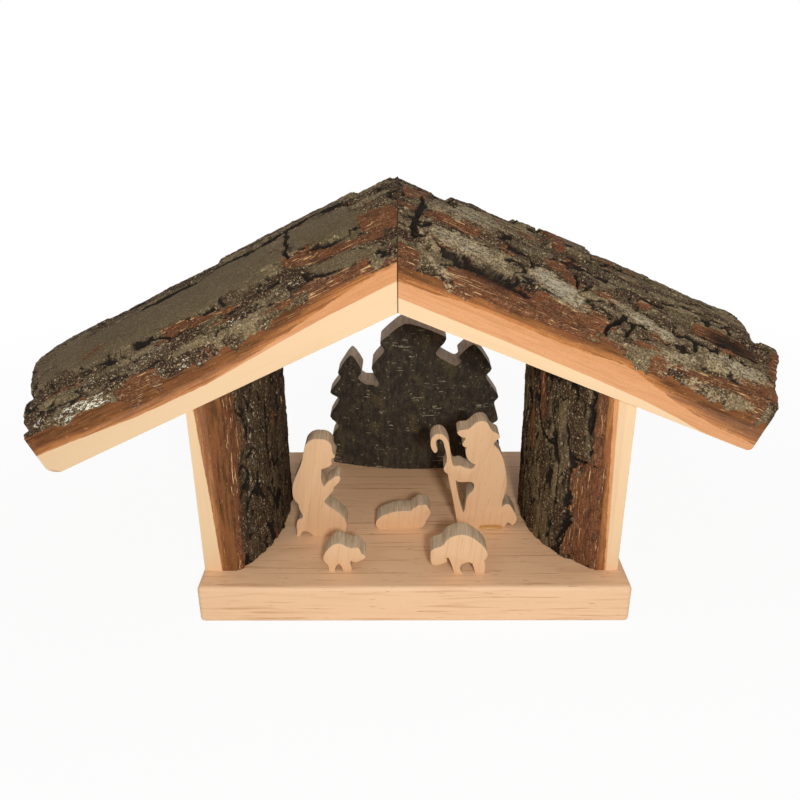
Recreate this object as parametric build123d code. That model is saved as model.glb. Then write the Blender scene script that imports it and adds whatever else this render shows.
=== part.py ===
from build123d import *
import os
from math import asin, cos, radians, sin, tan

# Wooden nativity stable. Log slabs with their bark on form the walls and the roof over a
# plain board. Firs sawn from a thinner slab stand behind flat figures sawn from planed board.
# Lengths in millimetres, angles in degrees. x runs along the front, y to the back, z up.
# The origin is the middle of the base board's underside.

# Base board
base_width = 231.5
base_depth = 160.0
base_thickness = 22.5
base_corner_radius = 2.5
base_edge_radius = 2.4

# Walls: slabs stood on end, sawn face outwards, bark inwards
wall_setback = 15.6
wall_depth = 124.0
left_wall_inset = 1.35
left_wall_wood_edge = 10.0
left_wall_wood_crown = 31.2
left_wall_bark = 7.8
right_wall_inset = 4.55
right_wall_wood_edge = 5.0
right_wall_wood_crown = 39.0
right_wall_bark = 6.5

# Roof: slabs laid with the bark up, mitred against each other at the ridge
ridge_shift = -7.5
ridge_rise = 147.3
roof_overhang = 2.0
roof_depth = 132.0
left_roof_pitch_degrees = 25.8
left_roof_length = 200.0
left_roof_wood_edge = 13.5
left_roof_wood_crown = 42.5
left_roof_bark = 8.5
right_roof_pitch_degrees = 22.6
right_roof_length = 193.0
right_roof_wood_edge = 13.0
right_roof_wood_crown = 41.0
right_roof_bark = 8.5

# Bark breaks along the log into courses, and each course across it into plates. A course ends
# at a share of the slab's length. Its plates follow from front to back: each ends at a share of
# the half round, where -1 is the front rim, 0 the crown and 1 the back rim, and lies a share of
# the bark's thickness below the log's round.
whole_bark_shares = [(1, [(1, 0)])]
left_roof_course_shares = [
    (0.02, [(-0.62, 0.26), (1, 0.38)]),
    (0.2, [(-0.77, 0.14), (-0.63, 0.3), (-0.12, 0.04), (0.42, 0.08), (1, 0.15)]),
    (0.65, [(-0.8, 0.1), (-0.69, 0.24), (0.28, 0.04), (1, 0.12)]),
    (0.82, [(-0.83, 0.07), (-0.66, 0.22), (0.14, 0.15), (1, 0.2)]),
    (0.97, [(-0.8, 0.1), (-0.66, 0.22), (0.28, 0.06), (1, 0.1)]),
    (1, [(-0.66, 0.3), (0.28, 0.26), (1, 0.3)]),
]
right_roof_course_shares = [
    (0, [(1, 0.3)]),
    (0.295, [(-0.8, 0.28), (-0.61, 0.02), (-0.47, 0.19), (-0.11, 0.02), (0.42, 0.1), (1, 0.05)]),
    (0.5, [(-0.87, 0.26), (-0.64, 0.02), (-0.5, 0.14), (-0.14, 0.1), (1, 0.05)]),
    (0.725, [(-0.69, 0.07), (-0.55, 0.16), (-0.07, 0.07), (1, 0.02)]),
    (0.943, [(-0.86, 0.16), (-0.65, 0.02), (-0.51, 0.24), (0, 0.04), (1, 0.05)]),
    (1, [(-0.43, 0.05), (1, 0.7)]),
]
left_wall_course_shares = [
    (0.3, [(-0.7, 0.1), (-0.25, 0.03), (0.2, 0.12), (0.6, 0.04), (1, 0.1)]),
    (0.62, [(-0.6, 0.03), (-0.2, 0.12), (0.25, 0.04), (1, 0.1)]),
    (1, [(-0.75, 0.12), (-0.35, 0.03), (0.1, 0.1), (0.5, 0.03), (1, 0.08)]),
]
right_wall_course_shares = [
    (0.43, [(-0.78, 0.34), (-0.3, 0.06), (0.1, 0.12), (0.5, 0.05), (1, 0.12)]),
    (0.7, [(-0.72, 0.1), (-0.45, 0.02), (-0.1, 0.14), (0.35, 0.04), (1, 0.1)]),
    (1, [(-0.6, 0.04), (-0.2, 0.12), (0.2, 0.03), (0.62, 0.1), (1, 0.05)]),
]

# Firs: one slab on end, sawn back, bark to the front
firs_width = 116.6
firs_height = 105.3
firs_shift = 2.1
firs_slab_margin = 2.7
firs_wood_edge = 6.5
firs_wood_crown = 20.5
firs_bark = 4.0
firs_back_setback = 3.0
firs_shares = [
    (0.02, 0), (0.015, 0.2), (0.065, 0.27), (0, 0.325), (0.077, 0.46), (0.006, 0.49),
    (0.088, 0.61), (0.06, 0.635), (0.145, 0.78), (0.21, 0.665), (0.175, 0.615),
    (0.22, 0.577), (0.31, 0.58), (0.25, 0.695), (0.34, 0.81), (0.3, 0.855), (0.45, 1),
    (0.69, 0.89), (0.6, 0.787), (0.728, 0.698), (0.762, 0.73), (0.738, 0.762),
    (0.827, 0.85), (0.943, 0.656), (0.892, 0.613), (0.987, 0.458), (0.952, 0.428),
    (0.988, 0.296), (0.94, 0.274), (1, 0.14), (0.99, 0),
]

# Figures: flat sawn silhouettes. Each outline is a row of spans that follow one another:
# one point is a straight cut, more points are one curved cut. Woman, infant and man stand in
# a row between the walls and part the room that they leave free by the row shares.
figure_thickness = 12.5
woman_row_share = 0.147
infant_row_share = 0.386
man_row_share = 0.375

woman_width = 30.2
woman_height = 63.2
woman_setback = 50.1
woman_shares = [
    [(0.4, 0.99), (0.3, 0.945), (0.255, 0.88), (0.215, 0.79), (0.12, 0.67), (0.04, 0.58),
     (0, 0.495), (0.03, 0.385), (0.095, 0.345)],
    [(0.115, 0.28), (0.165, 0.225)],
    [(0.155, 0.193)],
    [(0.065, 0.168), (0.035, 0.12), (0.015, 0)],
    [(0.09, 0)],
    [(0.12, 0.03), (0.17, 0.052), (0.25, 0.042), (0.35, 0)],
    [(0.94, 0)],
    [(1, 0.1), (0.985, 0.17), (0.9, 0.226), (0.8, 0.273), (0.68, 0.316), (0.585, 0.366)],
    [(0.673, 0.42), (0.785, 0.485)],
    [(0.78, 0.515)],
    [(0.9, 0.577), (0.918, 0.61), (0.873, 0.63), (0.765, 0.605), (0.67, 0.567), (0.606, 0.523)],
    [(0.565, 0.57), (0.56, 0.64), (0.57, 0.7)],
    [(0.66, 0.715), (0.735, 0.735), (0.765, 0.757), (0.765, 0.785), (0.775, 0.81)],
    [(0.835, 0.825), (0.8, 0.86), (0.785, 0.885), (0.785, 0.925), (0.735, 0.97), (0.65, 0.995),
     (0.55, 1)],
]

man_width = 51.5
man_height = 69.6
man_setback = 59.4
staff_foot_share = 0.322
man_shares = [
    [(0.34, 0.921), (0.4, 0.926), (0.445, 0.95), (0.5, 0.988), (0.552, 1), (0.61, 0.988),
     (0.645, 0.95), (0.685, 0.907), (0.735, 0.886), (0.763, 0.85)],
    [(0.73, 0.828), (0.693, 0.79)],
    [(0.775, 0.715), (0.83, 0.6), (0.86, 0.46), (0.855, 0.343), (0.83, 0.271), (0.82, 0.195)],
    [(0.9, 0.222), (0.955, 0.165), (1, 0.075), (0.955, 0.016)],
    [(0.9, 0.047)],
    [(0.864, 0)],
    [(staff_foot_share, 0)],
    [(0.22, 0.424), (0.193, 0.52)],
    [(0.152, 0.573), (0.165, 0.6), (0.182, 0.63)],
    [(0.177, 0.697), (0.153, 0.773), (0.128, 0.824), (0.095, 0.84), (0.065, 0.828),
     (0.058, 0.796), (0.078, 0.74)],
    [(0.05, 0.714), (0.016, 0.744), (0, 0.811), (0.02, 0.857), (0.072, 0.885), (0.127, 0.881),
     (0.173, 0.848), (0.203, 0.796), (0.224, 0.697), (0.248, 0.615)],
    [(0.275, 0.588), (0.328, 0.596), (0.374, 0.58), (0.43, 0.565), (0.488, 0.575)],
    [(0.505, 0.605)],
    [(0.45, 0.625), (0.405, 0.67), (0.39, 0.725), (0.4, 0.765)],
    [(0.352, 0.79), (0.372, 0.825), (0.385, 0.85)],
    [(0.335, 0.86), (0.29, 0.895)],
]
staff_gap_shares = [
    [(0.41, 0.44), (0.482, 0.43), (0.497, 0.391), (0.477, 0.351), (0.43, 0.311), (0.406, 0.223),
     (0.382, 0.142)],
    [(0.348, 0.223), (0.318, 0.321), (0.296, 0.4), (0.286, 0.462)],
]

infant_width = 32.5
infant_height = 16.3
infant_setback = 58.0
infant_shares = [
    [(0, 0.22), (0.06, 0.44), (0.2, 0.6), (0.34, 0.7), (0.5, 0.74), (0.645, 0.735)],
    [(0.695, 0.85), (0.745, 0.915), (0.79, 0.985), (0.835, 0.965), (0.89, 1), (0.965, 0.85),
     (1, 0.62), (0.94, 0.4), (0.9, 0.2), (0.76, 0)],
    [(0.05, 0)],
]

lamb_width = 22.9
lamb_height = 17.7
lamb_left = -49.1
lamb_setback = 15.2
lamb_shares = [
    [(0, 0.45), (0.08, 0.72), (0.225, 0.93), (0.39, 1), (0.56, 0.885), (0.78, 0.86)],
    [(0.865, 0.79), (0.9, 0.68), (0.985, 0.575)],
    [(1, 0.52), (0.89, 0.39), (0.77, 0.32), (0.665, 0.38)],
    [(0.635, 0.29), (0.665, 0.1), (0.635, 0)],
    [(0.47, 0)],
    [(0.42, 0.158), (0.36, 0.25), (0.3, 0.18), (0.276, 0)],
    [(0.12, 0)],
    [(0.11, 0.17), (0.03, 0.32)],
]

ewe_width = 30.6
ewe_height = 24.6
ewe_left = 9.1
ewe_setback = 12.7
ewe_shares = [
    [(0.04, 0.63), (0.15, 0.69), (0.235, 0.76)],
    [(0.3, 0.89), (0.4, 0.965), (0.565, 1), (0.745, 0.906), (0.88, 0.762), (0.985, 0.578),
     (1, 0.445), (0.945, 0.348)],
    [(0.97, 0.16), (0.955, 0)],
    [(0.8, 0)],
    [(0.76, 0.18), (0.71, 0.281), (0.62, 0.281), (0.575, 0)],
    [(0.42, 0)],
    [(0.385, 0.18), (0.317, 0.41)],
    [(0.265, 0.405)],
    [(0.285, 0.31), (0.2, 0.255), (0.12, 0.215), (0.04, 0.24), (0, 0.4), (0, 0.56)],
]

# Fixings
screw_diameter = 3.5
screw_head_diameter = 7.0
screw_head_height = 2.2
screw_length = 36.0
screw_recess = 0.4
screw_slot_width = 0.9
screw_slot_depth = 1.0
screw_clearance = 0.1
wall_screw_inset = 11.0
wall_screw_spacing = 70.0
firs_screw_inset = 9.0
firs_screw_spacing = 60.0
dowel_diameter = 6.0
dowel_clearance = 0.05
dowel_end_gap = 0.5
roof_dowel_length = 20.0
roof_dowel_inset = 12.0
roof_dowel_spacing = 60.0
ridge_dowel_length = 26.0
ridge_dowel_rise = 15.0
ridge_dowel_spacing = 64.0
glue_bead_radius = 1.1
glue_bead_length = 12.0
glue_bead_place_share = 0.52

base_front = -base_depth / 2
floor_height = base_thickness
ridge_height = floor_height + ridge_rise
wall_middle = base_front + wall_setback + wall_depth / 2
roof_middle = base_front + wall_setback - roof_overhang + roof_depth / 2
left_wall_face = left_wall_inset - base_width / 2
right_wall_face = base_width / 2 - right_wall_inset
firs_back = base_depth / 2 - firs_back_setback
room_left = left_wall_face + left_wall_wood_crown + left_wall_bark
room_right = right_wall_face - right_wall_wood_crown - right_wall_bark
staff_foot = staff_foot_share * man_width
free_room = room_right - room_left - woman_width - infant_width - man_width + staff_foot
woman_left = room_left + woman_row_share * free_room
infant_left = woman_left + woman_width + infant_row_share * free_room
man_left = infant_left + infant_width + man_row_share * free_room - staff_foot
reach = base_width + left_roof_length + right_roof_length


def roof_plane(pitch, side):
    """Underside of a roof slab: x down the slope from the ridge, z through the bark."""
    slope = radians(pitch)
    down = (side * cos(slope), 0, -sin(slope))
    out = (side * sin(slope), 0, cos(slope))
    return Plane((ridge_shift, roof_middle, ridge_height), x_dir=down, z_dir=out)


left_roof_plane = roof_plane(left_roof_pitch_degrees, -1)
right_roof_plane = roof_plane(right_roof_pitch_degrees, 1)
left_wall_plane = Plane((left_wall_face, wall_middle, floor_height), x_dir=(0, 0, 1), z_dir=(1, 0, 0))
right_wall_plane = Plane((right_wall_face, wall_middle, floor_height), x_dir=(0, 0, 1), z_dir=(-1, 0, 0))
firs_plane = Plane((firs_shift, firs_back, floor_height), x_dir=(0, 0, 1), z_dir=(0, -1, 0))


def log_slab(lead, length, chord, wood_edge, wood_crown, bark, courses, front):
    """Slab sawn off a log: its wood and its bark. The log's axis runs along x from -lead to length,
    the sawn face lies down, and front is 1 or -1 for the side of y where the courses start."""
    half = chord / 2
    rise = wood_crown - wood_edge
    core = (half**2 + rise**2) / (2 * rise)
    centre = wood_crown - core
    radius = core + bark
    spread = asin(half / radius)

    def ring(ring_radius, angle):
        return (-front * ring_radius * sin(angle), centre + ring_radius * cos(angle))

    def arc(ring_radius, start, end):
        return ThreePointArc(*[ring(ring_radius, angle) for angle in (start, (start + end) / 2, end)])

    core_spread = asin(half / core)
    core_arc = arc(core, -core_spread, core_spread)
    front_low = (front * half, 0)
    back_low = (-front * half, 0)
    sides = [Line(front_low, back_low), Line(back_low, core_arc @ 1), Line(core_arc @ 0, front_low)]
    wood = Pos(-lead, 0, 0) * extrude(Plane.YZ * make_face(sides + [core_arc]), lead + length)

    skin = []
    begin = -lead
    for course_end, plates in courses:
        outline = [core_arc]
        corner = core_arc @ 0
        start = -spread
        for plate_end, sunk in plates:
            level = radius - sunk * bark
            rim = asin(half / level)
            first = -rim if start == -spread else start
            last = rim if plate_end == 1 else plate_end * spread
            plate = arc(level, first, last)
            outline += [Line(corner, plate @ 0), plate]
            corner = plate @ 1
            start = last
        outline.append(Line(corner, core_arc @ 1))
        end = length * course_end
        skin.append(Pos(begin, 0, 0) * extrude(Plane.YZ * make_face(outline), end - begin))
        begin = end
    bark_skin = skin[0]
    for course in skin[1:]:
        bark_skin += course
    return wood, bark_skin


def above(plane):
    return plane * Pos(0, 0, reach / 2) * Box(2 * reach, reach, reach)


def beyond_ridge(side):
    return Pos(ridge_shift + side * reach / 2, 0, 0) * Box(reach, reach, 2 * reach)


def wood_screw(play):
    """Countersunk screw, or with play the hole that it goes through, head end at the underside."""
    head = screw_head_diameter / 2 + play
    shank = screw_diameter / 2 + play
    low = screw_recess
    high = screw_recess + screw_head_height
    tip = screw_length + play
    points = [(0, low), (head, low), (shank, high), (shank, tip - shank), (0, tip)]
    return revolve(Plane.XZ * make_face(Polyline(*points, close=True)), Axis.Z)


def screw_hole():
    mouth = Pos(0, 0, screw_recess / 2) * Cylinder(screw_head_diameter / 2 + screw_clearance, screw_recess)
    return wood_screw(screw_clearance) + mouth


def slotted_screw():
    slot = Box(screw_head_diameter, screw_slot_width, 2 * screw_slot_depth)
    return wood_screw(0) - Pos(0, 0, screw_recess) * slot


def spaced(x, y, spacing_x, spacing_y):
    """The two places of a pair of fixings."""
    return [Pos(x + side * spacing_x / 2, y + side * spacing_y / 2, 0) for side in (-1, 1)]


def dowel(length, play):
    return Cylinder(dowel_diameter / 2 + play, length + (dowel_end_gap if play else 0))


def roof_dowel_places(plane, pitch, wall_face, side):
    """Middles of the dowels between a wall's top and its roof slab, on the slab's underside."""
    run = side * (wall_face - ridge_shift) - roof_dowel_inset
    down = run / cos(radians(pitch))
    middle = side * (wall_middle - roof_middle)
    return [plane * place for place in spaced(down, middle, 0, roof_dowel_spacing)]


left_wall_screw_places = spaced(left_wall_face + wall_screw_inset, wall_middle, 0, wall_screw_spacing)
right_wall_screw_places = spaced(right_wall_face - wall_screw_inset, wall_middle, 0, wall_screw_spacing)
firs_screw_places = spaced(firs_shift, firs_back - firs_screw_inset, firs_screw_spacing, 0)
left_roof_dowel_places = roof_dowel_places(left_roof_plane, left_roof_pitch_degrees, left_wall_face, -1)
right_roof_dowel_places = roof_dowel_places(right_roof_plane, right_roof_pitch_degrees, right_wall_face, 1)
ridge_dowel_places = [
    Pos(ridge_shift, 0, ridge_height + ridge_dowel_rise) * place * Rot(0, 90, 0)
    for place in spaced(0, roof_middle, 0, ridge_dowel_spacing)
]


def make_base():
    board = Pos(0, 0, base_thickness / 2) * Box(base_width, base_depth, base_thickness)
    board = fillet(board.edges().filter_by(Axis.Z), base_corner_radius)
    rims = board.faces().sort_by(Axis.Z)[0].edges() + board.faces().sort_by(Axis.Z)[-1].edges()
    board = fillet(rims, base_edge_radius)
    for place in left_wall_screw_places + right_wall_screw_places + firs_screw_places:
        board -= place * screw_hole()
    return board


def make_wall(wall_plane, side, over, edge, crown, bark, courses, screw_places, dowel_places):
    slab = log_slab(0, ridge_rise, wall_depth, edge, crown, bark, courses, -side)
    wood, skin = [wall_plane * piece - above(over) for piece in slab]
    for place in screw_places:
        wood -= place * wood_screw(screw_clearance)
    for place in dowel_places:
        wood -= place * dowel(roof_dowel_length, dowel_clearance)
    return wood, skin


def make_roof(plane, side, pitch, length, edge, crown, bark, courses, dowel_places):
    lead = (crown + bark) * tan(radians(pitch)) + bark
    slab = log_slab(lead, length, roof_depth, edge, crown, bark, courses, -side)
    wood, skin = [plane * piece - beyond_ridge(-side) for piece in slab]
    for place in dowel_places:
        wood -= place * dowel(roof_dowel_length, dowel_clearance)
    for place in ridge_dowel_places:
        wood -= place * dowel(ridge_dowel_length, dowel_clearance)
    return wood, skin


def make_firs():
    chord = firs_width + 2 * firs_slab_margin
    slab = log_slab(0, firs_height, chord, firs_wood_edge, firs_wood_crown, firs_bark, whole_bark_shares, 1)
    points = [(firs_width * (x - 1 / 2), firs_height * z) for x, z in firs_shares]
    outline = Plane.XZ * make_face(Polyline(*points, close=True))
    sawn = Pos(firs_shift, firs_back, floor_height) * extrude(outline, firs_wood_crown + firs_bark)
    wood, skin = [firs_plane * piece & sawn for piece in slab]
    for place in firs_screw_places:
        wood -= place * wood_screw(screw_clearance)
    return wood, skin


def outline_face(spans, width, height):
    """Closed outline of straight and curved cuts from points given as shares."""
    cuts = []
    start = spans[-1][-1]
    for span in spans:
        points = [(width * x, height * z) for x, z in [start] + span]
        cuts.append(Line(*points) if len(span) == 1 else Spline(*points))
        start = span[-1]
    return make_face(cuts)


def sawn_figure(face, left, setback):
    return Pos(left, base_front + setback, floor_height) * extrude(Plane.XZ * face, -figure_thickness)


def make_man():
    body = outline_face(man_shares, man_width, man_height)
    gap = outline_face(staff_gap_shares, man_width, man_height)
    return sawn_figure(body - gap, man_left, man_setback)


def make_glue_bead():
    """Quarter-round bead of set glue along the front foot of the standing figure."""
    foot = (0, 0)
    front = (-glue_bead_radius, 0)
    top = (0, glue_bead_radius)
    bulge = RadiusArc(front, top, glue_bead_radius)
    bead = extrude(Plane.YZ * make_face([Line(foot, front), bulge, Line(top, foot)]), glue_bead_length)
    return Pos(man_left + glue_bead_place_share * man_width, base_front + man_setback, floor_height) * bead


def group(piece, places):
    return Compound(children=[place * piece for place in places])


left_wall_wood, left_wall_bark_skin = make_wall(
    left_wall_plane, -1, left_roof_plane, left_wall_wood_edge, left_wall_wood_crown, left_wall_bark,
    left_wall_course_shares, left_wall_screw_places, left_roof_dowel_places)
right_wall_wood, right_wall_bark_skin = make_wall(
    right_wall_plane, 1, right_roof_plane, right_wall_wood_edge, right_wall_wood_crown, right_wall_bark,
    right_wall_course_shares, right_wall_screw_places, right_roof_dowel_places)
left_roof_wood, left_roof_bark_skin = make_roof(
    left_roof_plane, -1, left_roof_pitch_degrees, left_roof_length, left_roof_wood_edge,
    left_roof_wood_crown, left_roof_bark, left_roof_course_shares, left_roof_dowel_places)
right_roof_wood, right_roof_bark_skin = make_roof(
    right_roof_plane, 1, right_roof_pitch_degrees, right_roof_length, right_roof_wood_edge,
    right_roof_wood_crown, right_roof_bark, right_roof_course_shares, right_roof_dowel_places)
firs_wood, firs_bark_skin = make_firs()

nodes = {
    "base_board": make_base(),
    "left_wall_wood": left_wall_wood,
    "left_wall_bark": left_wall_bark_skin,
    "right_wall_wood": right_wall_wood,
    "right_wall_bark": right_wall_bark_skin,
    "left_roof_wood": left_roof_wood,
    "left_roof_bark": left_roof_bark_skin,
    "right_roof_wood": right_roof_wood,
    "right_roof_bark": right_roof_bark_skin,
    "firs_wood": firs_wood,
    "firs_bark": firs_bark_skin,
    "kneeling_woman": sawn_figure(
        outline_face(woman_shares, woman_width, woman_height), woman_left, woman_setback),
    "crook_man": make_man(),
    "infant": sawn_figure(
        outline_face(infant_shares, infant_width, infant_height), infant_left, infant_setback),
    "lamb": sawn_figure(outline_face(lamb_shares, lamb_width, lamb_height), lamb_left, lamb_setback),
    "ewe": sawn_figure(outline_face(ewe_shares, ewe_width, ewe_height), ewe_left, ewe_setback),
    "glue_bead": make_glue_bead(),
    "left_wall_screws": group(slotted_screw(), left_wall_screw_places),
    "right_wall_screws": group(slotted_screw(), right_wall_screw_places),
    "firs_screws": group(slotted_screw(), firs_screw_places),
    "left_roof_dowels": group(dowel(roof_dowel_length, 0), left_roof_dowel_places),
    "right_roof_dowels": group(dowel(roof_dowel_length, 0), right_roof_dowel_places),
    "ridge_dowels": group(dowel(ridge_dowel_length, 0), ridge_dowel_places),
}

os.makedirs("parts", exist_ok=True)
for name, solid in nodes.items():
    solid.label = name
    export_step(solid, f"parts/{name}.step")
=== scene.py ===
# %% [markdown]
# # A wooden nativity stable
#
# The real thing is a small stable made of log slabs that still wear their bark. Two slabs stand on
# a planed board as walls, two more lean together as the roof, and a thinner one behind is sawn into
# fir trees. Flat figures sawn from planed board stand inside. The solids come from the CAD model,
# and this lesson dresses them: bark with real relief, sawn wood with its rings, planed wood with
# its grain. Sizes are written in millimetres, as a joiner would, and turned to metres at the end.

# %% Load the frame
from dataclasses import dataclass
from math import asin, cos, radians, sin, sqrt

import bmesh
import bpy
from mathutils import Matrix, Vector, noise


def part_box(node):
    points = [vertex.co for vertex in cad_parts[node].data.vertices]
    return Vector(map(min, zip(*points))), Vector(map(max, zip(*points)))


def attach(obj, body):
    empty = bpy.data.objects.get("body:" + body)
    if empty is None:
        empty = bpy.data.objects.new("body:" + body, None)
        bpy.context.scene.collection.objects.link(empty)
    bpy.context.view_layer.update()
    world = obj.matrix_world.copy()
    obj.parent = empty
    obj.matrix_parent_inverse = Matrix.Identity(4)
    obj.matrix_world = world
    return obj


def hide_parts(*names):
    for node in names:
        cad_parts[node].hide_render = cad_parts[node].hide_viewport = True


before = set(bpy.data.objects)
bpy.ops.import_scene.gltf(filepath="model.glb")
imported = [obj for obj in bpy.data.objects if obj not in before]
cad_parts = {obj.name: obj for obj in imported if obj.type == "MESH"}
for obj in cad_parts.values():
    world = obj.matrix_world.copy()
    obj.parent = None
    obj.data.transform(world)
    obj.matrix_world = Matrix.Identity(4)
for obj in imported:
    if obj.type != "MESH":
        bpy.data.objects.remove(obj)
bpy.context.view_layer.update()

MM = 0.001
RIGHTWARD = Vector((1, 0, 0))
BACKWARD = Vector((0, 1, 0))
UPWARD = Vector((0, 0, 1))


def linked(name, data):
    """A new object in the scene, with its data."""
    made = bpy.data.objects.new(name, data)
    bpy.context.scene.collection.objects.link(made)
    return made


def mesh_from(shape, name):
    """Turns a finished shape into a mesh."""
    mesh = bpy.data.meshes.new(name)
    shape.to_mesh(mesh)
    shape.free()
    return mesh


# %% [markdown]
# ## Camera
#
# The photograph looks down into the stable from the front, from about arm's length. The camera
# could be aimed with a constraint, but its place and its three turns are known, so the turn is
# built from the view's own directions: forward, right and up.

# %% Camera
CAMERA_PLACE = Vector((-3.92, -432.6, 283.1)) * MM
CAMERA_DOWN = radians(23.38)
CAMERA_YAW = radians(-0.664)
CAMERA_ROLL = radians(-0.498)
PICTURE_SIZE = 800
FOCAL_PIXELS = 806.13
PICTURE_CENTRE = (397.17, 400.53)
SENSOR_WIDTH = 36

ahead = Vector((sin(CAMERA_YAW), cos(CAMERA_YAW), 0))
forward = ahead * cos(CAMERA_DOWN) - UPWARD * sin(CAMERA_DOWN)
level = Vector((cos(CAMERA_YAW), -sin(CAMERA_YAW), 0))
upright = level.cross(forward)
right = level * cos(CAMERA_ROLL) + upright * sin(CAMERA_ROLL)
up = upright * cos(CAMERA_ROLL) - level * sin(CAMERA_ROLL)

camera_data = bpy.data.cameras.new("camera")
camera_data.sensor_width = SENSOR_WIDTH
camera_data.lens = SENSOR_WIDTH * FOCAL_PIXELS / PICTURE_SIZE
camera_data.shift_x = (PICTURE_SIZE / 2 - PICTURE_CENTRE[0]) / PICTURE_SIZE
camera_data.shift_y = (PICTURE_CENTRE[1] - PICTURE_SIZE / 2) / PICTURE_SIZE
camera_data.clip_start = 10 * MM
camera = linked("camera", camera_data)
view_turn = Matrix((right, up, -forward)).transposed().to_4x4()
camera.matrix_world = Matrix.Translation(CAMERA_PLACE) @ view_turn
bpy.context.scene.camera = camera
print("lens", round(camera_data.lens, 2), "mm")

# %% [markdown]
# ## Shader maths
#
# A finish is a tree of nodes, and adding nodes one by one hides the idea. A wire stands for a
# socket here, and Python's own signs add the Math nodes, so a recipe reads like a formula. The
# sign | stands for the larger of two values.

# %% Wires
def sign(operation, turned=False):
    """A wire's method for one of Python's signs. Turned, the wire stands on the right of it."""
    def method(wire, other):
        first, second = (other, wire) if turned else (wire, other)
        return wire.recipe.node("ShaderNodeMath", {"operation": operation}, {0: first, 1: second})
    return method


class Wire:
    """An output socket that can be used in sums."""

    __add__ = sign("ADD")
    __radd__ = sign("ADD", turned=True)
    __sub__ = sign("SUBTRACT")
    __rsub__ = sign("SUBTRACT", turned=True)
    __mul__ = sign("MULTIPLY")
    __rmul__ = sign("MULTIPLY", turned=True)
    __truediv__ = sign("DIVIDE")
    __rtruediv__ = sign("DIVIDE", turned=True)
    __pow__ = sign("POWER")
    __rpow__ = sign("POWER", turned=True)
    __mod__ = sign("FLOORED_MODULO")
    __rmod__ = sign("FLOORED_MODULO", turned=True)
    __or__ = sign("MAXIMUM")
    __ror__ = sign("MAXIMUM", turned=True)

    def __init__(self, recipe, socket):
        self.recipe = recipe
        self.socket = socket

    def rise(self, low, high):
        """0 below low and 1 above high, with a soft step between."""
        sockets = {"Value": self, "From Min": low, "From Max": high}
        return self.recipe.node("ShaderNodeMapRange", {"interpolation_type": "SMOOTHSTEP"}, sockets)


print("wires ready")


# %% Recipes
class Recipe:
    """A tree of nodes and the few kinds of node that are used in it."""

    def __init__(self, tree):
        self.tree = tree

    def plug(self, socket, value):
        if isinstance(value, Wire):
            self.tree.links.new(value.socket, socket)
        else:
            socket.default_value = value

    def node(self, kind, settings, sockets, output=0):
        made = self.tree.nodes.new(kind)
        for name, value in settings.items():
            if name == "stops":
                self.set_stops(made.color_ramp, value)
            else:
                setattr(made, name, value)
        for name, value in sockets.items():
            self.plug(made.inputs[name], value)
        return Wire(self, made.outputs[output])

    def set_stops(self, ramp, stops):
        while len(ramp.elements) < len(stops):
            ramp.elements.new(1.0)
        for element, (place, colour) in zip(ramp.elements, stops):
            element.position = place
            element.color = colour

    def vector_sum(self, operation, sockets, output=0):
        return self.node("ShaderNodeVectorMath", {"operation": operation}, sockets, output)

    def dot(self, vector, direction):
        return self.vector_sum("DOT_PRODUCT", {0: vector, 1: direction}, "Value")

    def vector(self, x, y, z):
        return self.node("ShaderNodeCombineXYZ", {}, {0: x, 1: y, 2: z})

    def noise(self, vector, detail=2.0, rough=0.5, bend=0.0):
        sockets = {"Vector": vector, "Scale": 1.0, "Detail": detail, "Roughness": rough, "Distortion": bend}
        return self.node("ShaderNodeTexNoise", {}, sockets)

    def mix(self, share, first, second):
        return self.node("ShaderNodeMix", {"data_type": "RGBA"}, {0: share, 6: first, 7: second}, 2)

    def coats(self, colour, *coats):
        """Lays coats of (share, colour) over a first colour, one after the other."""
        for share, coat in coats:
            colour = self.mix(share, colour, coat)
        return colour

    def ramp(self, value, stops):
        return self.node("ShaderNodeValToRGB", {"stops": stops}, {0: value})

    def line(self, value, length, places):
        """A height that changes along a length, from a few (place, height) pairs in millimetres."""
        most = max(height for place, height in places)
        stops = [(place / length, (height / most,) * 3 + (1.0,)) for place, height in places]
        return self.ramp(value / length, stops) * most

    def attribute(self, name):
        return self.node("ShaderNodeAttribute", {"attribute_name": name}, {}, "Fac")

    def normal(self, kind="Normal"):
        return self.node("ShaderNodeNewGeometry", {}, {}, kind)

    def bump(self, height, strength, depth):
        sockets = {"Height": height, "Strength": strength, "Distance": depth * MM}
        return self.node("ShaderNodeBump", {}, sockets)


print("recipes ready")


# %% Finishes
@dataclass
class Lay:
    """How a log or a board lies: a point of it in mm, and its directions along, across and out."""

    origin: Vector
    along: Vector
    across: Vector
    out: Vector


class Finish(Recipe):
    """The recipe of one material. Its patterns read the point on the piece in mm, and where a lay is
    given also u along the grain, v across it and w out of it."""

    def __init__(self, name, lay=None):
        self.material = bpy.data.materials.new(name)
        self.material.use_nodes = True
        super().__init__(self.material.node_tree)
        self.shader = self.tree.nodes["Principled BSDF"]
        metres = self.node("ShaderNodeTexCoord", {}, {}, "Object")
        self.point = self.vector_sum("SCALE", {0: metres, "Scale": 1 / MM})
        if lay is not None:
            start = self.vector_sum("SUBTRACT", {0: self.point, 1: lay.origin})
            self.u, self.v, self.w = [self.dot(start, way) for way in (lay.along, lay.across, lay.out)]

    def waves(self, long, wide, detail=2.0, rough=0.5, bend=0.0):
        """Noise that is stretched along the grain, with its two sizes in mm."""
        return self.noise(self.vector(self.u / long, self.v / wide, self.w / wide), detail, rough, bend)

    def done(self, **sockets):
        for name, value in sockets.items():
            self.plug(self.shader.inputs[name.replace("_", " ")], value)
        return self.material


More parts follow.
